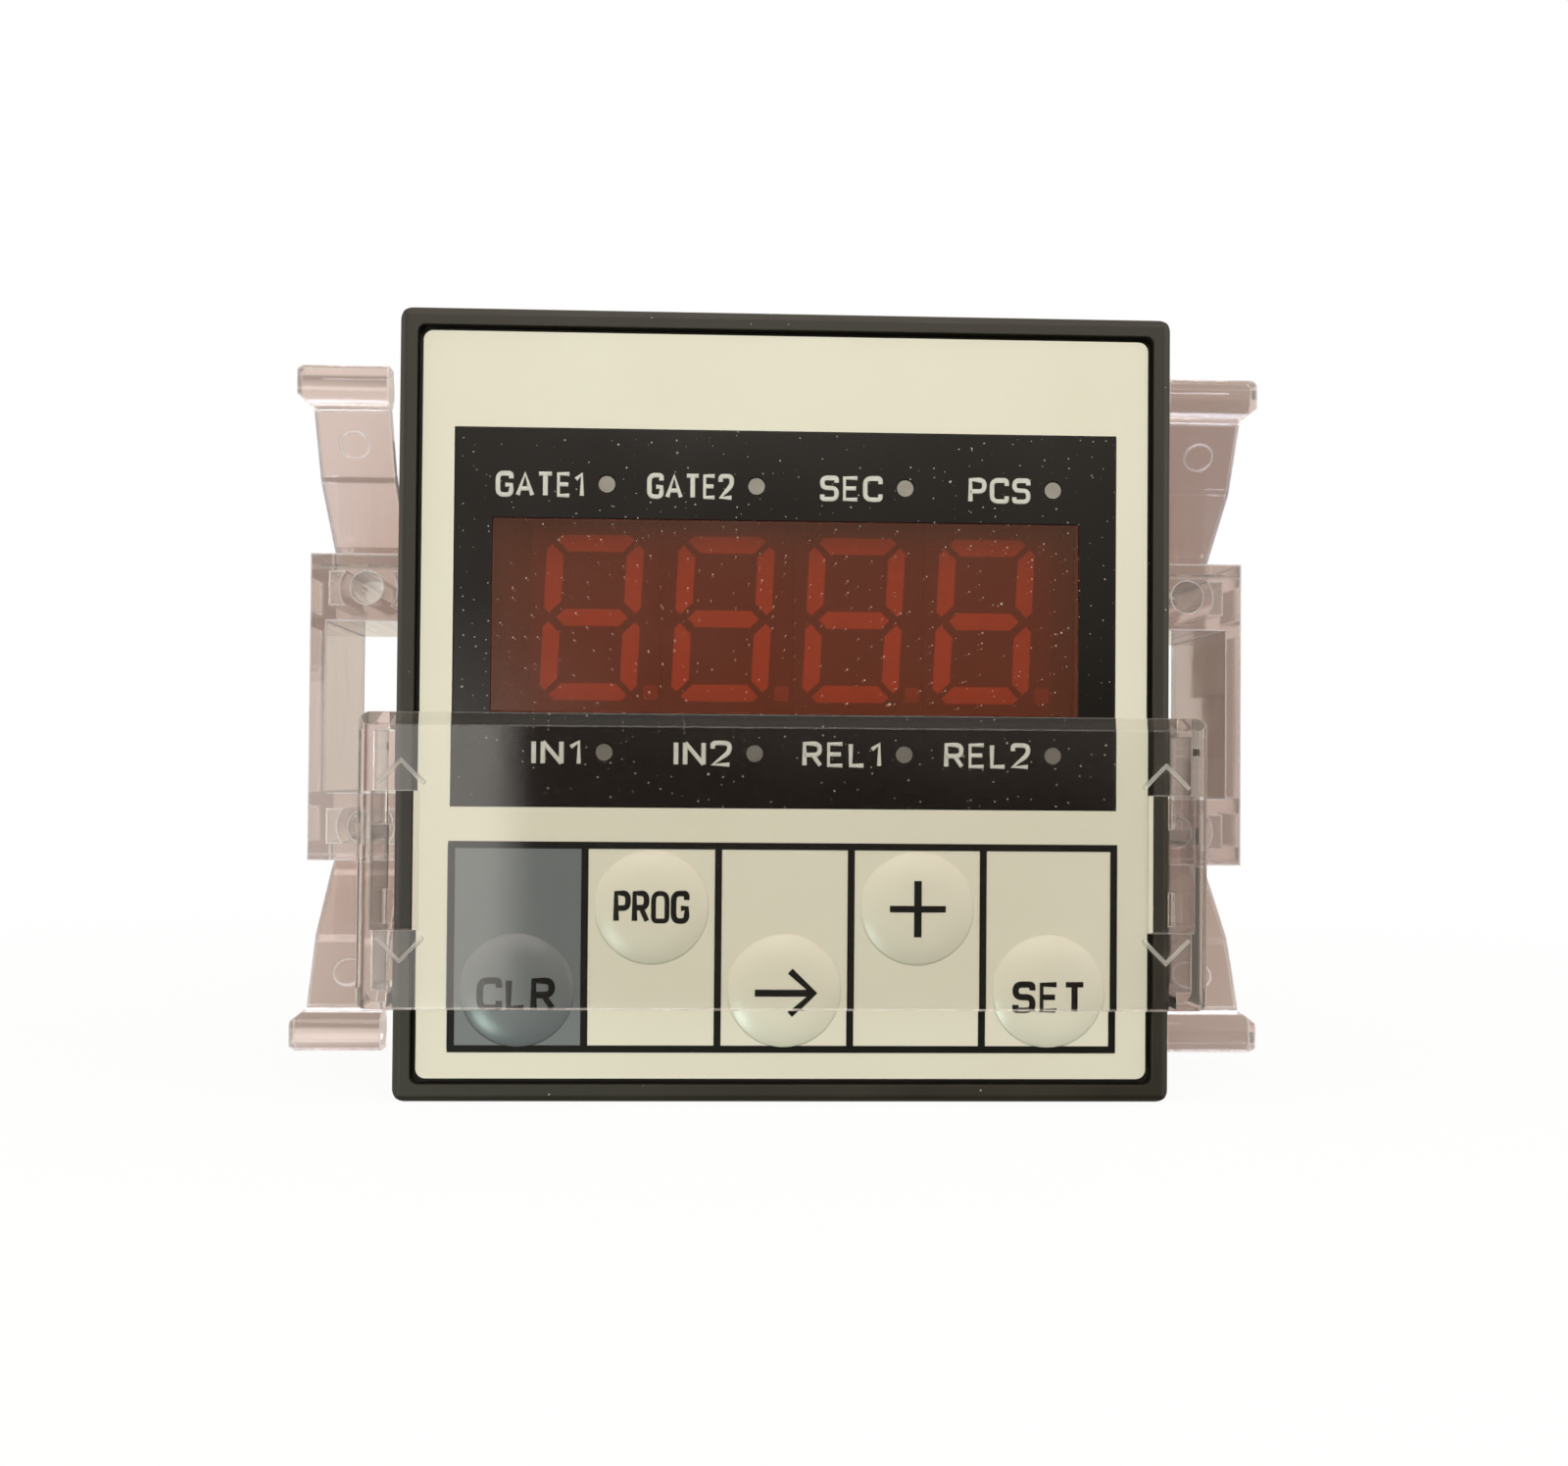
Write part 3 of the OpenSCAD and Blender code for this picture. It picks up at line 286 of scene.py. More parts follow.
# glass epoxy under a sprayed solder mask: green, mottled by the weave, glossy
boardGreen = mouldedPlastic("glassEpoxySolderMask", dict(
    colours=("#1f5a3a", "#2b6a46"), blotchMm=1.2, roughness=(0.25, 0.4), ior=1.55,
    grainMm=0.5, grainDepthMm=0.006, edgeMm=0.05))

# chip lamps in cast white epoxy: off-white and smooth
ledWhite = mouldedPlastic("epoxyWhiteChip", dict(
    colours=("#d8d2bc", "#e2dcc8"), blotchMm=0.6, roughness=(0.25, 0.35), ior=1.53,
    grainMm=0.2, grainDepthMm=0.002, edgeMm=0.05))

# acrylic light pipe with a frosted end: a dull grey dot while its lamp is off, duller in the lower row
lampRows = dict(upperZ=20.35, lowerZ=-4.5, halfMm=2)
pipeFrosted = mouldedPlastic("acrylicFrostedEnd", dict(
    colours=("#928980", "#9c9389"), blotchMm=1, roughness=(0.4, 0.5), ior=1.49,
    grainMm=0.15, grainDepthMm=0.004, edgeMm=0.05, dull="#6f6861",
    dullSpots=[{"Z": (lampRows["lowerZ"], lampRows["halfMm"])}]))

# polyester film printed black on its back: brown-black, satin, and every dust speck shows
maskFilm = mouldedPlastic("polyesterFilmPrintedBlack", dict(
    colours=("#150f0b", "#19130f"), blotchMm=14, roughness=(0.16, 0.22), ior=1.5,
    grainMm=0.6, grainDepthMm=0.002, edgeMm=0.05, dust=houseDust))

# steel, turned and zinc plated: pale grey with small bright highlights
zincSteel = metalFinish("steelZincPlated", dict(
    colours=("#b9bcbd", "#a9adaf"), blotchMm=1.6, roughness=(0.22, 0.36),
    grainMm=0.25, grainDepthMm=0.003, edgeMm=0.1))

# brass stamped from sheet: yellow, lightly clouded by handling
brassStamped = metalFinish("brassStamped", dict(
    colours=("#c6a552", "#b5913f"), blotchMm=2.2, roughness=(0.24, 0.4),
    grainMm=0.3, grainDepthMm=0.003, edgeMm=0.08))

# red acrylic, cast and faintly milky: the digits show through as dull bars
redLens = clearPlastic("acrylicRedCast", dict(
    tint="#d28058", shade="#edaa98", transmission=0.9, ior=1.49, roughness=(0.16, 0.22),
    blotchMm=9, waveMm=8, waveDepthMm=0.002, edgeMm=0.05, dust=houseDust))

# polycarbonate, moulded and polished: clear, with a brown cast where the light goes the long way
raisedMarkMm = 0.2
guardClear = clearPlastic("polycarbonateGuardMoulded", dict(
    tint="#fefdfd", shade="#fefefd", transmission=1, ior=1.585, roughness=(0.02, 0.05),
    blotchMm=7, waveMm=6, waveDepthMm=0.006, edgeMm=0.2, absorb="#c9bdb4", absorbPerM=30,
    # painted highlight: pale diffuse lines on the edges stand in for the light that rounded edges catch
    paintedEdgeHighlight=dict(colour="#f6f3f0", share=0.4, begins=0.99, full=0.8),
    raised=dict(beforeY=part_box("slide_cover")[0].y + raisedMarkMm * mm, colour="#e9e6df", share=0.38)))

# polycarbonate moulded thicker and less polished: rosy brown in depth; its milky tenth is partly real haze
# and partly a painted sheen that lightens it, and painted highlights lie as white lines on its edges
bracketClear = clearPlastic("polycarbonateBracketMoulded", dict(
    tint="#f3edea", shade="#f6f1ee", transmission=0.9, ior=1.585, roughness=(0.03, 0.08),
    blotchMm=5, waveMm=5, waveDepthMm=0.012, edgeMm=0.35, absorb="#c4b0a6", absorbPerM=22,
    # painted highlight: pale diffuse lines on the edges stand in for the light that rounded edges catch
    paintedEdgeHighlight=dict(colour="#f6f3f6", share=0.7, begins=0.99, full=0.8)))
print("materials made:", len(bpy.data.materials))

# What the front sheet carries, in millimetres, x to the right and z up
frontPrint = dict(
    cream=("#ebe4d3", "#e8e0ce"), blueGrey=("#74777a", "#707376"),
    black=("#0f0d0a", "#15120e"), pale=("#d8d4cc", "#cbc7be"),
    frameX=31.0, frameTop=-12.7, frameBottom=-32.15, lineMm=0.65, keyPitch=12.3,
    inkMm=0.012, onFilmMm=0.04, onDomeMm=0.03, cutMm=0.4,
    film=dict(blotchMm=16, roughMm=12, roughness=(0.29, 0.3), ior=1.6, grainMm=0.25, grainDepthMm=0.0006),
    inks=dict(blotchMm=0.8, roughMm=3, roughness=(0.4, 0.5), ior=1.5, sheen=0.2))
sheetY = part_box("front_sheet")[0].y / mm
keys = []
for number in range(1, 6):
    low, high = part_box(f"key_{number}")
    keys.append(((low.x + high.x) / 2 / mm, (low.z + high.z) / 2 / mm))


def printedFilm(name, colours, cell=None):
    # polyester film with a matt hard coat, screen printed: even colour, soft wide highlight
    material, tree, place = startMaterial(name)
    look = frontPrint["film"]
    colour = twoTone(tree, place, look["blotchMm"], *colours)
    if cell:
        other = twoTone(tree, place, look["blotchMm"], *frontPrint["blueGrey"])
        colour = addNode(tree, "Mix", links={"Factor": within(tree, place, cell), "A": colour,
                                             "B": other}, data_type="RGBA")
    surface = addNode(tree, "BsdfPrincipled", {"IOR": look["ior"]},
                      {"Base Color": colour,
                       "Roughness": noiseBetween(tree, place, look["roughMm"], *look["roughness"]),
                       "Normal": grainNormal(tree, place, look["grainMm"], look["grainDepthMm"])})
    addNode(tree, "OutputMaterial", links={"Surface": surface})
    return material


def printedInk(name, colours):
    # screen ink laid thin and matt: even, with hardly any sheen
    material, tree, place = startMaterial(name)
    look = frontPrint["inks"]
    surface = addNode(tree, "BsdfPrincipled", {"IOR": look["ior"], "Specular IOR Level": look["sheen"]},
                      {"Base Color": twoTone(tree, place, look["blotchMm"], *colours),
                       "Roughness": noiseBetween(tree, place, look["roughMm"], *look["roughness"])})
    addNode(tree, "OutputMaterial", links={"Surface": surface})
    return material


# the blue-grey of the first cell ends under the lines of the frame
frameTop, frameBottom = frontPrint["frameTop"], frontPrint["frameBottom"]
under = dict(shiftMm=-0.1, widerMm=0.2, lowerMm=0.3)
firstCell = {"X": (keys[0][0] + under["shiftMm"], frontPrint["keyPitch"] / 2 + under["widerMm"]),
             "Z": ((frameTop + frameBottom) / 2, (frameTop - frameBottom) / 2 - under["lowerMm"])}
filmCream = printedFilm("polyesterFilmCream", frontPrint["cream"])
filmSheet = printedFilm("polyesterFilmPrinted", frontPrint["cream"], firstCell)
filmBlue = printedFilm("polyesterFilmBlueGrey", frontPrint["blueGrey"])
inkBlack = printedInk("screenInkBlack", frontPrint["black"])
inkPale = printedInk("screenInkPale", frontPrint["pale"])

finishes = {
    absCharcoal: ["bezel"], filmSheet: ["front_sheet"], maskFilm: ["display_window"],
    redLens: ["display_filter"], pipeFrosted: ["light_pipes"], ledWhite: ["indicator_leds"],
    epoxyBlack: ["digit_1", "digit_2", "digit_3", "digit_4", "microcontroller"],
    segmentEpoxy: ["segments_1", "segments_2", "segments_3", "segments_4"],
    filmBlue: ["key_1"], filmCream: ["key_2", "key_3", "key_4", "key_5"],
    pbtBlack: ["plunger_1", "plunger_2", "plunger_3", "plunger_4", "plunger_5", "key_switches",
               "board_headers", "terminal_block"],
    boardGreen: ["display_board", "main_board", "power_board"],
    zincSteel: ["board_screws", "terminal_screws", "terminal_washers", "case_screws"],
    relayBlue: ["relay_1", "relay_2"], ferriteGrey: ["transformer_core"],
    coilTape: ["transformer_coil"], sleeveBlue: ["capacitors"], brassStamped: ["terminal_plates"],
    absCase: ["case"], guardClear: ["slide_cover"], bracketClear: ["bracket_left", "bracket_right"]}
for material, names in finishes.items():
    for name in names:
        nodes[name].data.materials.clear()
        nodes[name].data.materials.append(material)
print("finishes on", sum(len(n) for n in finishes.values()), "nodes")


def addPiece(name, mesh, material, body):
    mesh.materials.clear()
    mesh.materials.append(material)
    piece = bpy.data.objects.new(name, mesh)
    bpy.context.scene.collection.objects.link(piece)
    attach(piece, body)
    return piece


def meshFrom(name, builder):
    form = bmesh.new()
    builder(form)
    bmesh.ops.recalc_face_normals(form, faces=form.faces)
    mesh = bpy.data.meshes.new(name)
    form.to_mesh(mesh)
    form.free()
    return mesh


def inkBar(form, x0, x1, z0, z1, y0, y1):
    bar = bmesh.ops.create_cube(form, size=1)["verts"]
    size = Vector((x1 - x0, y1 - y0, z1 - z0)) * mm
    middle = Vector((x0 + x1, y0 + y1, z0 + z1)) * mm / 2
    for v in bar:
        v.co = Vector(a * b for a, b in zip(v.co, size)) + middle


# Domes pressed in the film over each key
dome = dict(radiusMm=5.3, crown=3.6, skinMm=0.02, thinning=8, outerMm=0.004, innerMm=0.002, clearMm=0.03,
            rings=28, steps=96,
            joints=["reset_key_press", "mode_key_press", "shift_key_press", "plus_key_press",
                    "enter_key_press"])
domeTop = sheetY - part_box("key_2")[0].y / mm + dome["clearMm"]


def domeHeight(r):
    # crowned: level in the middle and steeper towards the edge
    return domeTop * (1 - min(r / dome["radiusMm"], 1) ** dome["crown"])


def domeSkin(form, x, z):
    # a closed skin that thins out at its edge: the outer face outwards, then the inner one back
    radii = [dome["radiusMm"] * i / dome["rings"] for i in range(1, dome["rings"] + 1)]
    thick = [dome["skinMm"] * (1 - (r / dome["radiusMm"]) ** dome["thinning"]) for r in radii]
    levels = [(r, domeHeight(r) + t + dome["outerMm"]) for r, t in zip(radii, thick)]
    levels += [(r, domeHeight(r) + dome["innerMm"]) for r in reversed(radii)]
    rows = [[form.verts.new(Vector((x + r * math.cos(a), sheetY - h, z + r * math.sin(a))) * mm)
             for a in (2 * math.pi * k / dome["steps"] for k in range(dome["steps"]))]
            for r, h in levels]
    poles = [form.verts.new(Vector((x, sheetY - domeHeight(0) - t - dome["outerMm"], z)) * mm)
             for t in (dome["skinMm"], 0)]
    for k in range(dome["steps"]):
        after = (k + 1) % dome["steps"]
        for a, b in zip(rows, rows[1:]):
            form.faces.new((a[k], a[after], b[after], b[k]))
        form.faces.new((poles[0], rows[0][after], rows[0][k]))
        form.faces.new((poles[1], rows[-1][k], rows[-1][after]))


def flattenWithKey(piece):
    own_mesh(piece)


for number, (x, z) in enumerate(keys, 1):
    mesh = meshFrom(f"film_dome_{number}", lambda form: domeSkin(form, x, z))
    mesh.shade_smooth()
    skin = addPiece(f"film_dome_{number}", mesh, filmBlue if number == 1 else filmCream, "housing")
    flattenWithKey(skin)


def keyFrame(form):
    side, line = frontPrint["frameX"], frontPrint["lineMm"]
    level = (sheetY - frontPrint["onFilmMm"], sheetY - frontPrint["onFilmMm"] + frontPrint["inkMm"])
    for z in (frameTop, frameBottom + line):
        inkBar(form, -side, side, z - line, z, *level)
    dividers = [(i - 1.5) * frontPrint["keyPitch"] for i in range(4)]
    for x in [-side + line / 2, side - line / 2] + dividers:
        inkBar(form, x - line / 2, x + line / 2, frameBottom + line, frameTop - line, *level)


addPiece("key_frame_print", meshFrom("key_frame_print", keyFrame), inkBlack, "housing")


# Stroke letters in a box one unit high: width, then strokes as corner points, where a third number
# rounds the corner
strokeLetters = {
    "A": (0.74, [[(0, 0), (0.37, 1), (0.74, 0)], [(0.13, 0.3), (0.61, 0.3)]]),
    "C": (0.66, [[(0.66, 0.74), (0.66, 1, 0.3), (0, 1, 0.3), (0, 0, 0.3), (0.66, 0, 0.3), (0.66, 0.26)]]),
    "E": (0.56, [[(0.56, 1), (0, 1), (0, 0), (0.56, 0)], [(0, 0.52), (0.5, 0.52)]]),
    "G": (0.68, [[(0.68, 0.76), (0.68, 1, 0.3), (0, 1, 0.3), (0, 0, 0.3), (0.68, 0, 0.3), (0.68, 0.46),
                  (0.38, 0.46)]]),
    "I": (0, [[(0, 0), (0, 1)]]),
    "L": (0.52, [[(0, 1), (0, 0), (0.52, 0)]]),
    "N": (0.68, [[(0, 0), (0, 1)], [(0, 1), (0.68, 0)], [(0.68, 0), (0.68, 1)]]),
    "O": (0.7, [[(0.35, 0), (0.7, 0, 0.3), (0.7, 1, 0.3), (0, 1, 0.3), (0, 0, 0.3), (0.35, 0)]]),
    "P": (0.62, [[(0, 0), (0, 1), (0.62, 1, 0.26), (0.62, 0.46, 0.26), (0, 0.46)]]),
    "R": (0.64, [[(0, 0), (0, 1), (0.62, 1, 0.26), (0.62, 0.48, 0.26), (0, 0.48)],
                 [(0.34, 0.48), (0.64, 0)]]),
    "S": (0.62, [[(0.62, 0.78), (0.62, 1, 0.24), (0, 1, 0.24), (0, 0.52, 0.24), (0.62, 0.52, 0.24),
                  (0.62, 0, 0.24), (0, 0, 0.24), (0, 0.22)]]),
    "T": (0.66, [[(0, 1), (0.66, 1)], [(0.33, 1), (0.33, 0)]]),
    "1": (0.3, [[(0, 0.76), (0.3, 1), (0.3, 0)]]),
    "2": (0.62, [[(0, 0.74), (0, 1, 0.28), (0.62, 1, 0.28), (0.62, 0.58, 0.2), (0, 0), (0.62, 0)]]),
    "+": (1, [[(0, 0.5), (1, 0.5)], [(0.5, 0), (0.5, 1)]]),
    ">": (1.24, [[(0, 0.5), (1.2, 0.5)], [(0.74, 1), (1.24, 0.5), (0.74, 0)]])}
letterGap = 0.34  # from one letter's centre line to the next one's, in letter heights


def roundedLine(corners, steps=6):
    # the stroke's points, with the marked corners turned into arcs
    line = []
    for i, corner in enumerate(corners):
        point = Vector(corner[:2])
        if len(corner) == 2:
            line.append(point)
            continue
        sides = [Vector(corners[i + k][:2]) - point for k in (-1, 1)]
        reach = min([corner[2]] + [side.length * 0.5 for side in sides])
        ends = [point + side.normalized() * reach for side in sides]
        for k in range(steps + 1):
            t = k / steps
            line.append(ends[0] * (1 - t) ** 2 + point * 2 * t * (1 - t) + ends[1] * t * t)
    return line


def strokeMesh(name, word, middle, heightMm, widthMm, lineMm, lay):
    # inked strokes as flat tubes; lay gives the level of the film at x, z
    curve = bpy.data.curves.new(name, "CURVE")
    curve.dimensions = "3D"
    curve.bevel_depth, curve.bevel_resolution, curve.use_fill_caps = lineMm / 2, 1, True
    letters = [strokeLetters[letter] for letter in word]
    natural = sum(wide for wide, strokes in letters) + letterGap * (len(word) - 1)
    high, squeeze = heightMm - lineMm, (widthMm - lineMm) / natural
    start = middle[0] - (widthMm - lineMm) / 2
    for wide, strokes in letters:
        for corners in strokes:
            points = roundedLine(corners)
            spline = curve.splines.new("POLY")
            spline.points.add(len(points) - 1)
            for target, point in zip(spline.points, points):
                target.co = (start + point.x * squeeze, 0, middle[1] + (point.y - 0.5) * high, 1)
        start += (wide + letterGap) * squeeze
    holder = bpy.data.objects.new(name, curve)
    bpy.context.scene.collection.objects.link(holder)
    bpy.context.view_layer.update()
    mesh = bpy.data.meshes.new_from_object(holder.evaluated_get(bpy.context.evaluated_depsgraph_get()))
    bpy.data.objects.remove(holder)
    form = bmesh.new()
    form.from_mesh(mesh)
    # long strokes are cut into short ones that can follow a dome
    for axis in (0, 2):
        low, high = (f(v.co[axis] for v in form.verts) for f in (min, max))
        for step in range(1, int((high - low) / frontPrint["cutMm"]) + 1):
            point, normal = Vector((0, 0, 0)), Vector((0, 0, 0))
            point[axis], normal[axis] = low + step * frontPrint["cutMm"], 1
            bmesh.ops.bisect_plane(form, geom=form.verts[:] + form.edges[:] + form.faces[:],
                                   plane_co=point, plane_no=normal)
    for v in form.verts:
        v.co.y = lay(v.co.x, v.co.z) + v.co.y / lineMm * frontPrint["inkMm"]
        v.co *= mm
    form.to_mesh(mesh)
    form.free()
    return mesh


# Lamp legends, each ending a little left of its dot
labels = dict(heightMm=2.45, lineMm=0.45, gapMm=2.1, dotsX=(-16.8, -2.9, 11.0, 24.9),
              upper=dict(z=lampRows["upperZ"],
                         words=(("GATE1", 8.2), ("GATE2", 8.1), ("SEC", 5.9), ("PCS", 5.9))),
              lower=dict(z=lampRows["lowerZ"],
                         words=(("IN1", 4.6), ("IN2", 5.4), ("REL1", 7.4), ("REL2", 8.1))))
for row in ("upper", "lower"):
    for dotX, (word, wide) in zip(labels["dotsX"], labels[row]["words"]):
        name = f"legend_{row}_{word.lower()}"
        middle = (dotX - labels["gapMm"] - wide / 2, labels[row]["z"])
        mesh = strokeMesh(name, word, middle, labels["heightMm"], wide, labels["lineMm"],
                          lambda x, z: sheetY - frontPrint["inkMm"])
        addPiece(name, mesh, inkPale, "housing")

# Key legends lie on their domes
keyPrint = {1: dict(word="CLR", wide=7.2, high=3.1, line=0.6, up=-0.28),
            2: dict(word="PROG", wide=7.0, high=3.05, line=0.52, up=0.05),
            3: dict(word=">", wide=6.2, high=4.8, line=0.74, up=-0.1),
            4: dict(word="+", wide=5.9, high=5.9, line=0.7, up=-0.02),
            5: dict(word="SET", wide=6.9, high=3.0, line=0.58, up=-0.45)}
for number, look in keyPrint.items():
    keyX, keyZ = keys[number - 1]
    name = f"key_legend_{number}"

    def onDome(x, z):
        high = domeHeight(math.hypot(x - keyX, z - keyZ))
        return sheetY - high - dome["skinMm"] - frontPrint["onDomeMm"]

    mesh = strokeMesh(name, look["word"], (keyX, keyZ + look["up"]), look["high"], look["wide"],
                      look["line"], onDome)
    flattenWithKey(addPiece(name, mesh, inkBlack, "housing"))
print("print laid on the front")

# Studio: white to the eye, a warm table behind clear plastic, a room that is dark in front and pale above
# and behind, a wide front lamp without a mirror image, soft lamps above, over the roof, at the right and
# at the left, a cool one low at the left, glints for the brackets alone, and a card that the guard mirrors
brackets = ["bracket_left", "bracket_right"]
studio = dict(
    roomColour="#fff6e8", skyTop=0.66, skyFront=0.022, skyBehind=0.9, skyLean=0.1, skyRise=(0, 0.22),
    behindY=(-0.3, 0.5), tableLeft="#ecd6cd", tableRight="#a0867a", tableLean=-0.6,
    tableAcross=(-0.28, -0.07), frontDim=0.12, frontY=(-0.96, -0.8),
    floorDropMm=0.05, floorMm=6000, floorGlow=0.93, shadowMm=(100, 300), paper=("#fbfbfa", "#f8f8f7"),
    paperBlotchMm=40,
    lamps=dict(
        frontLamp=dict(placeMm=(90, -470, 120), sizeMm=420, watts=0.125, colour="#f8fdff", mirrored=False),
        keyLamp=dict(placeMm=(0, -300, 230), sizeMm=280, watts=0.42, colour="#fffaf4", mirrored=True),
        roofLamp=dict(placeMm=(0, -60, 420), sizeMm=220, watts=0.2, colour="#fffaf4", mirrored=True),
        sideLamp=dict(placeMm=(-210, -350, -210), sizeMm=120, watts=0.58, colour="#dcf6ea", mirrored=True,
                      keptOff=["slide_cover", "display_window", "display_filter"]),
        rightLamp=dict(placeMm=(300, -200, 60), sizeMm=300, watts=0.4, colour="#fdfff6", mirrored=True),
        leftLamp=dict(placeMm=(-420, -130, 40), sizeMm=300, watts=0.5, colour="#fbfff8", mirrored=True),
        leftGlint=dict(placeMm=(-180, -60, -360), sizeMm=200, watts=0.9, colour="#e8eeff", mirrored=True,
                       only=brackets),
        rightGlint=dict(placeMm=(180, -60, -360), sizeMm=200, watts=0.9, colour="#e8eeff", mirrored=True,
                        only=brackets),
        topGlint=dict(placeMm=(0, -300, 300), sizeMm=100, watts=0.4, colour="#ffffff", mirrored=True,
                      only=brackets)),
    card=dict(yMm=-790, fromX=-420, toX=-85, fromZ=-180, toZ=40, fadeMm=28, strength=2.7,
              colour="#fffaf2"))
world = bpy.data.worlds.new("studioWorld")
bpy.context.scene.world = world
world.use_nodes = True
tree = world.node_tree
tree.nodes.clear()
rays = addNode(tree, "LightPath")
direction = addNode(tree, "TexCoord")
axes = addNode(tree, "SeparateXYZ", links={"Vector": direction.outputs["Generated"]})
height = addNode(tree, "Math", {1: studio["skyLean"]}, {0: axes.outputs["X"], 2: axes.outputs["Z"]},
                 operation="MULTIPLY_ADD")
lift = addNode(tree, "MapRange", {"From Min": studio["skyRise"][0], "From Max": studio["skyRise"][1],
                                  "To Min": studio["skyFront"], "To Max": studio["skyTop"]},
               {"Value": height})
behind = addNode(tree, "MapRange", {"From Min": studio["behindY"][0], "From Max": studio["behindY"][1],
                                    "To Min": 0, "To Max": studio["skyBehind"]},
                 {"Value": axes.outputs["Y"]})
level = addNode(tree, "Math", links={0: lift, 1: behind}, operation="MAXIMUM")
room = addNode(tree, "Background", {"Color": linear(studio["roomColour"])}, {"Strength": level})
# the table behind the clear plastic is palest at the upper left
fromUpperLeft = addNode(tree, "Math", {1: studio["tableLean"]},
                        {0: axes.outputs["Z"], 2: axes.outputs["X"]}, operation="MULTIPLY_ADD")
across = addNode(tree, "MapRange", {"From Min": studio["tableAcross"][0],
                                    "From Max": studio["tableAcross"][1]}, {"Value": fromUpperLeft})
tableTone = addNode(tree, "Mix", {"A": linear(studio["tableLeft"]), "B": linear(studio["tableRight"])},
                    {"Factor": across}, data_type="RGBA")
table = addNode(tree, "Background", {"Strength": 1}, {"Color": tableTone})
aside = addNode(tree, "MapRange", {"From Min": studio["frontY"][0], "From Max": studio["frontY"][1],
                                   "To Min": studio["frontDim"]}, {"Value": axes.outputs["Y"]})
through = addNode(tree, "Math", links={0: rays.outputs["Is Transmission Ray"], 1: aside},
                  operation="MULTIPLY")
white = addNode(tree, "Background", {"Color": linear("#ffffff"), "Strength": 1})
mixed = addNode(tree, "MixShader", links={0: through, 1: room, 2: table})
mixed = addNode(tree, "MixShader", links={0: rays.outputs["Is Camera Ray"], 1: mixed, 2: white})
addNode(tree, "OutputWorld", links={"Surface": mixed})


def addLamp(name, look):
    lamp = bpy.data.lights.new(name, "AREA")
    lamp.shape = "DISK"
    lamp.size = look["sizeMm"] * mm
    lamp.energy = look["watts"]
    lamp.color = linear(look["colour"])[:3]
    holder = bpy.data.objects.new(name, lamp)
    bpy.context.scene.collection.objects.link(holder)
    holder.location = Vector(look["placeMm"]) * mm
    holder.rotation_euler = (-holder.location).to_track_quat("-Z", "Y").to_euler()
    holder.visible_glossy = holder.visible_transmission = look["mirrored"]
    # flat glossy plates are kept off a small strong lamp, which they would show as a white disc
    for rule, state in (("keptOff", "EXCLUDE"), ("only", "INCLUDE")):
        if rule in look:
            named = bpy.data.collections.new(name + rule)
            holder.light_linking.receiver_collection = named
            for lit in look[rule]:
                named.objects.link(nodes[lit])
            for entry in named.collection_objects:
                entry.light_linking.link_state = state


for name, look in studio["lamps"].items():
    addLamp(name, look)


def stageSheet(name, corners, material):
    sheet = bpy.data.meshes.new(name)
    sheet.from_pydata([Vector(c) * mm for c in corners], [], [(0, 1, 2, 3)])
    sheet.materials.append(material)
    holder = bpy.data.objects.new(name, sheet)
    bpy.context.scene.collection.objects.link(holder)
    return holder


def floorPaper():
    # matt white paper: a soft shadow near the object, plain white farther away
    material, tree, place = startMaterial("paperWhite")
    away = addNode(tree, "VectorMath", links={0: place}, operation="LENGTH")
    near, far = (reach * mm for reach in studio["shadowMm"])
    share = addNode(tree, "MapRange", {"From Min": near, "From Max": far, "To Min": studio["floorGlow"],
                                       "To Max": 1}, {"Value": away.outputs["Value"]})
    tone = twoTone(tree, place, studio["paperBlotchMm"], *studio["paper"])
    paper = addNode(tree, "BsdfDiffuse", links={"Color": tone})
    glow = addNode(tree, "Emission", {"Color": linear("#ffffff"), "Strength": 1})
    mixed = addNode(tree, "MixShader", links={0: share, 1: paper, 2: glow})
    addNode(tree, "OutputMaterial", links={"Surface": mixed})
    return material


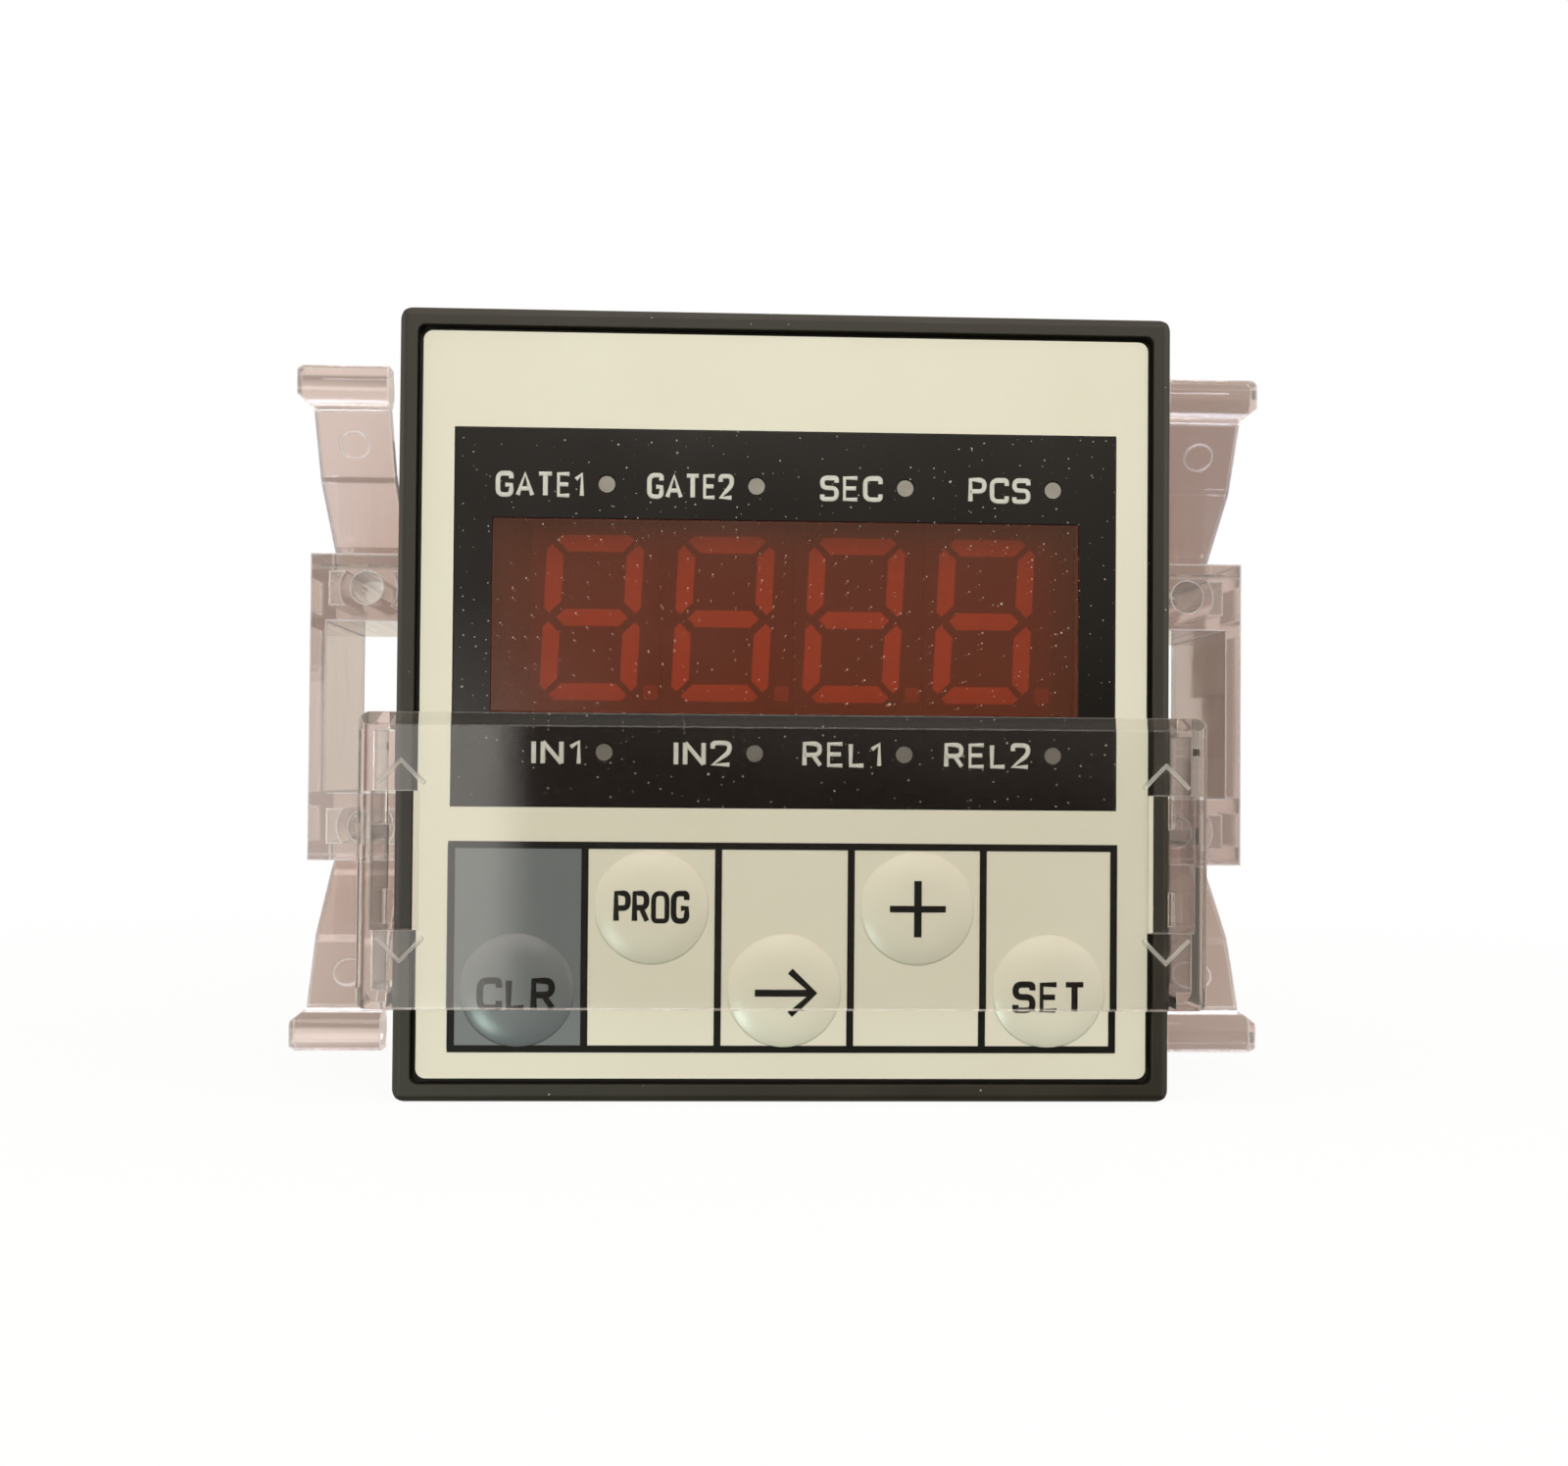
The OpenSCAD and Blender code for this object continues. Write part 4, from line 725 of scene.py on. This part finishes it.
def cardGlow(look):
    # fades towards its right edge, as a window's light does on a wall
    material, tree, place = startMaterial("paperCardLit")
    axes = addNode(tree, "SeparateXYZ", links={"Vector": place})
    fade = addNode(tree, "MapRange", {"From Min": (look["toX"] - look["fadeMm"]) * mm,
                                      "From Max": look["toX"] * mm, "To Min": look["strength"],
                                      "To Max": 0}, {"Value": axes.outputs["X"]},
                   interpolation_type="SMOOTHSTEP")
    glow = addNode(tree, "Emission", {"Color": linear(look["colour"])}, {"Strength": fade})
    addNode(tree, "OutputMaterial", links={"Surface": glow})
    return material


# the paper lies there for the eye alone, so that the front stays dark below and low lamps reach it
half, floorZ = studio["floorMm"] / 2, cadBox[0].z / mm - studio["floorDropMm"]
floor = stageSheet("floor", [(-half, -half, floorZ), (half, -half, floorZ), (half, half, floorZ),
                             (-half, half, floorZ)], floorPaper())
floor.visible_glossy = floor.visible_diffuse = False
floor.visible_transmission = floor.visible_shadow = False
look = studio["card"]
card = stageSheet("reflected_card", [(look["fromX"], look["yMm"], look["fromZ"]),
                                     (look["toX"], look["yMm"], look["fromZ"]),
                                     (look["toX"], look["yMm"], look["toZ"]),
                                     (look["fromX"], look["yMm"], look["toZ"])], cardGlow(look))
card.visible_camera = card.visible_diffuse = False
card.visible_transmission = card.visible_shadow = False
bpy.context.scene.view_settings.view_transform = "Standard"

# Camera: where the photograph was taken from, nearly square to the front
shot = dict(placeMm=(-8.21, -190.65, -6.29), panDeg=2.53, tiltDeg=1.19, rollDeg=0.454, lensMm=45,
            sensorMm=36)
camera = bpy.data.cameras.new("camera")
camera.lens, camera.sensor_width = shot["lensMm"], shot["sensorMm"]
camera.clip_start, camera.clip_end = 0.01, 20
holder = bpy.data.objects.new("camera", camera)
bpy.context.scene.collection.objects.link(holder)
turn = (Matrix.Rotation(math.radians(-shot["panDeg"]), 4, "Z")
        @ Matrix.Rotation(math.radians(90 + shot["tiltDeg"]), 4, "X")
        @ Matrix.Rotation(math.radians(shot["rollDeg"]), 4, "Z"))
holder.matrix_world = Matrix.Translation(Vector(shot["placeMm"]) * mm) @ turn
bpy.context.scene.camera = holder
print("studio and camera set")
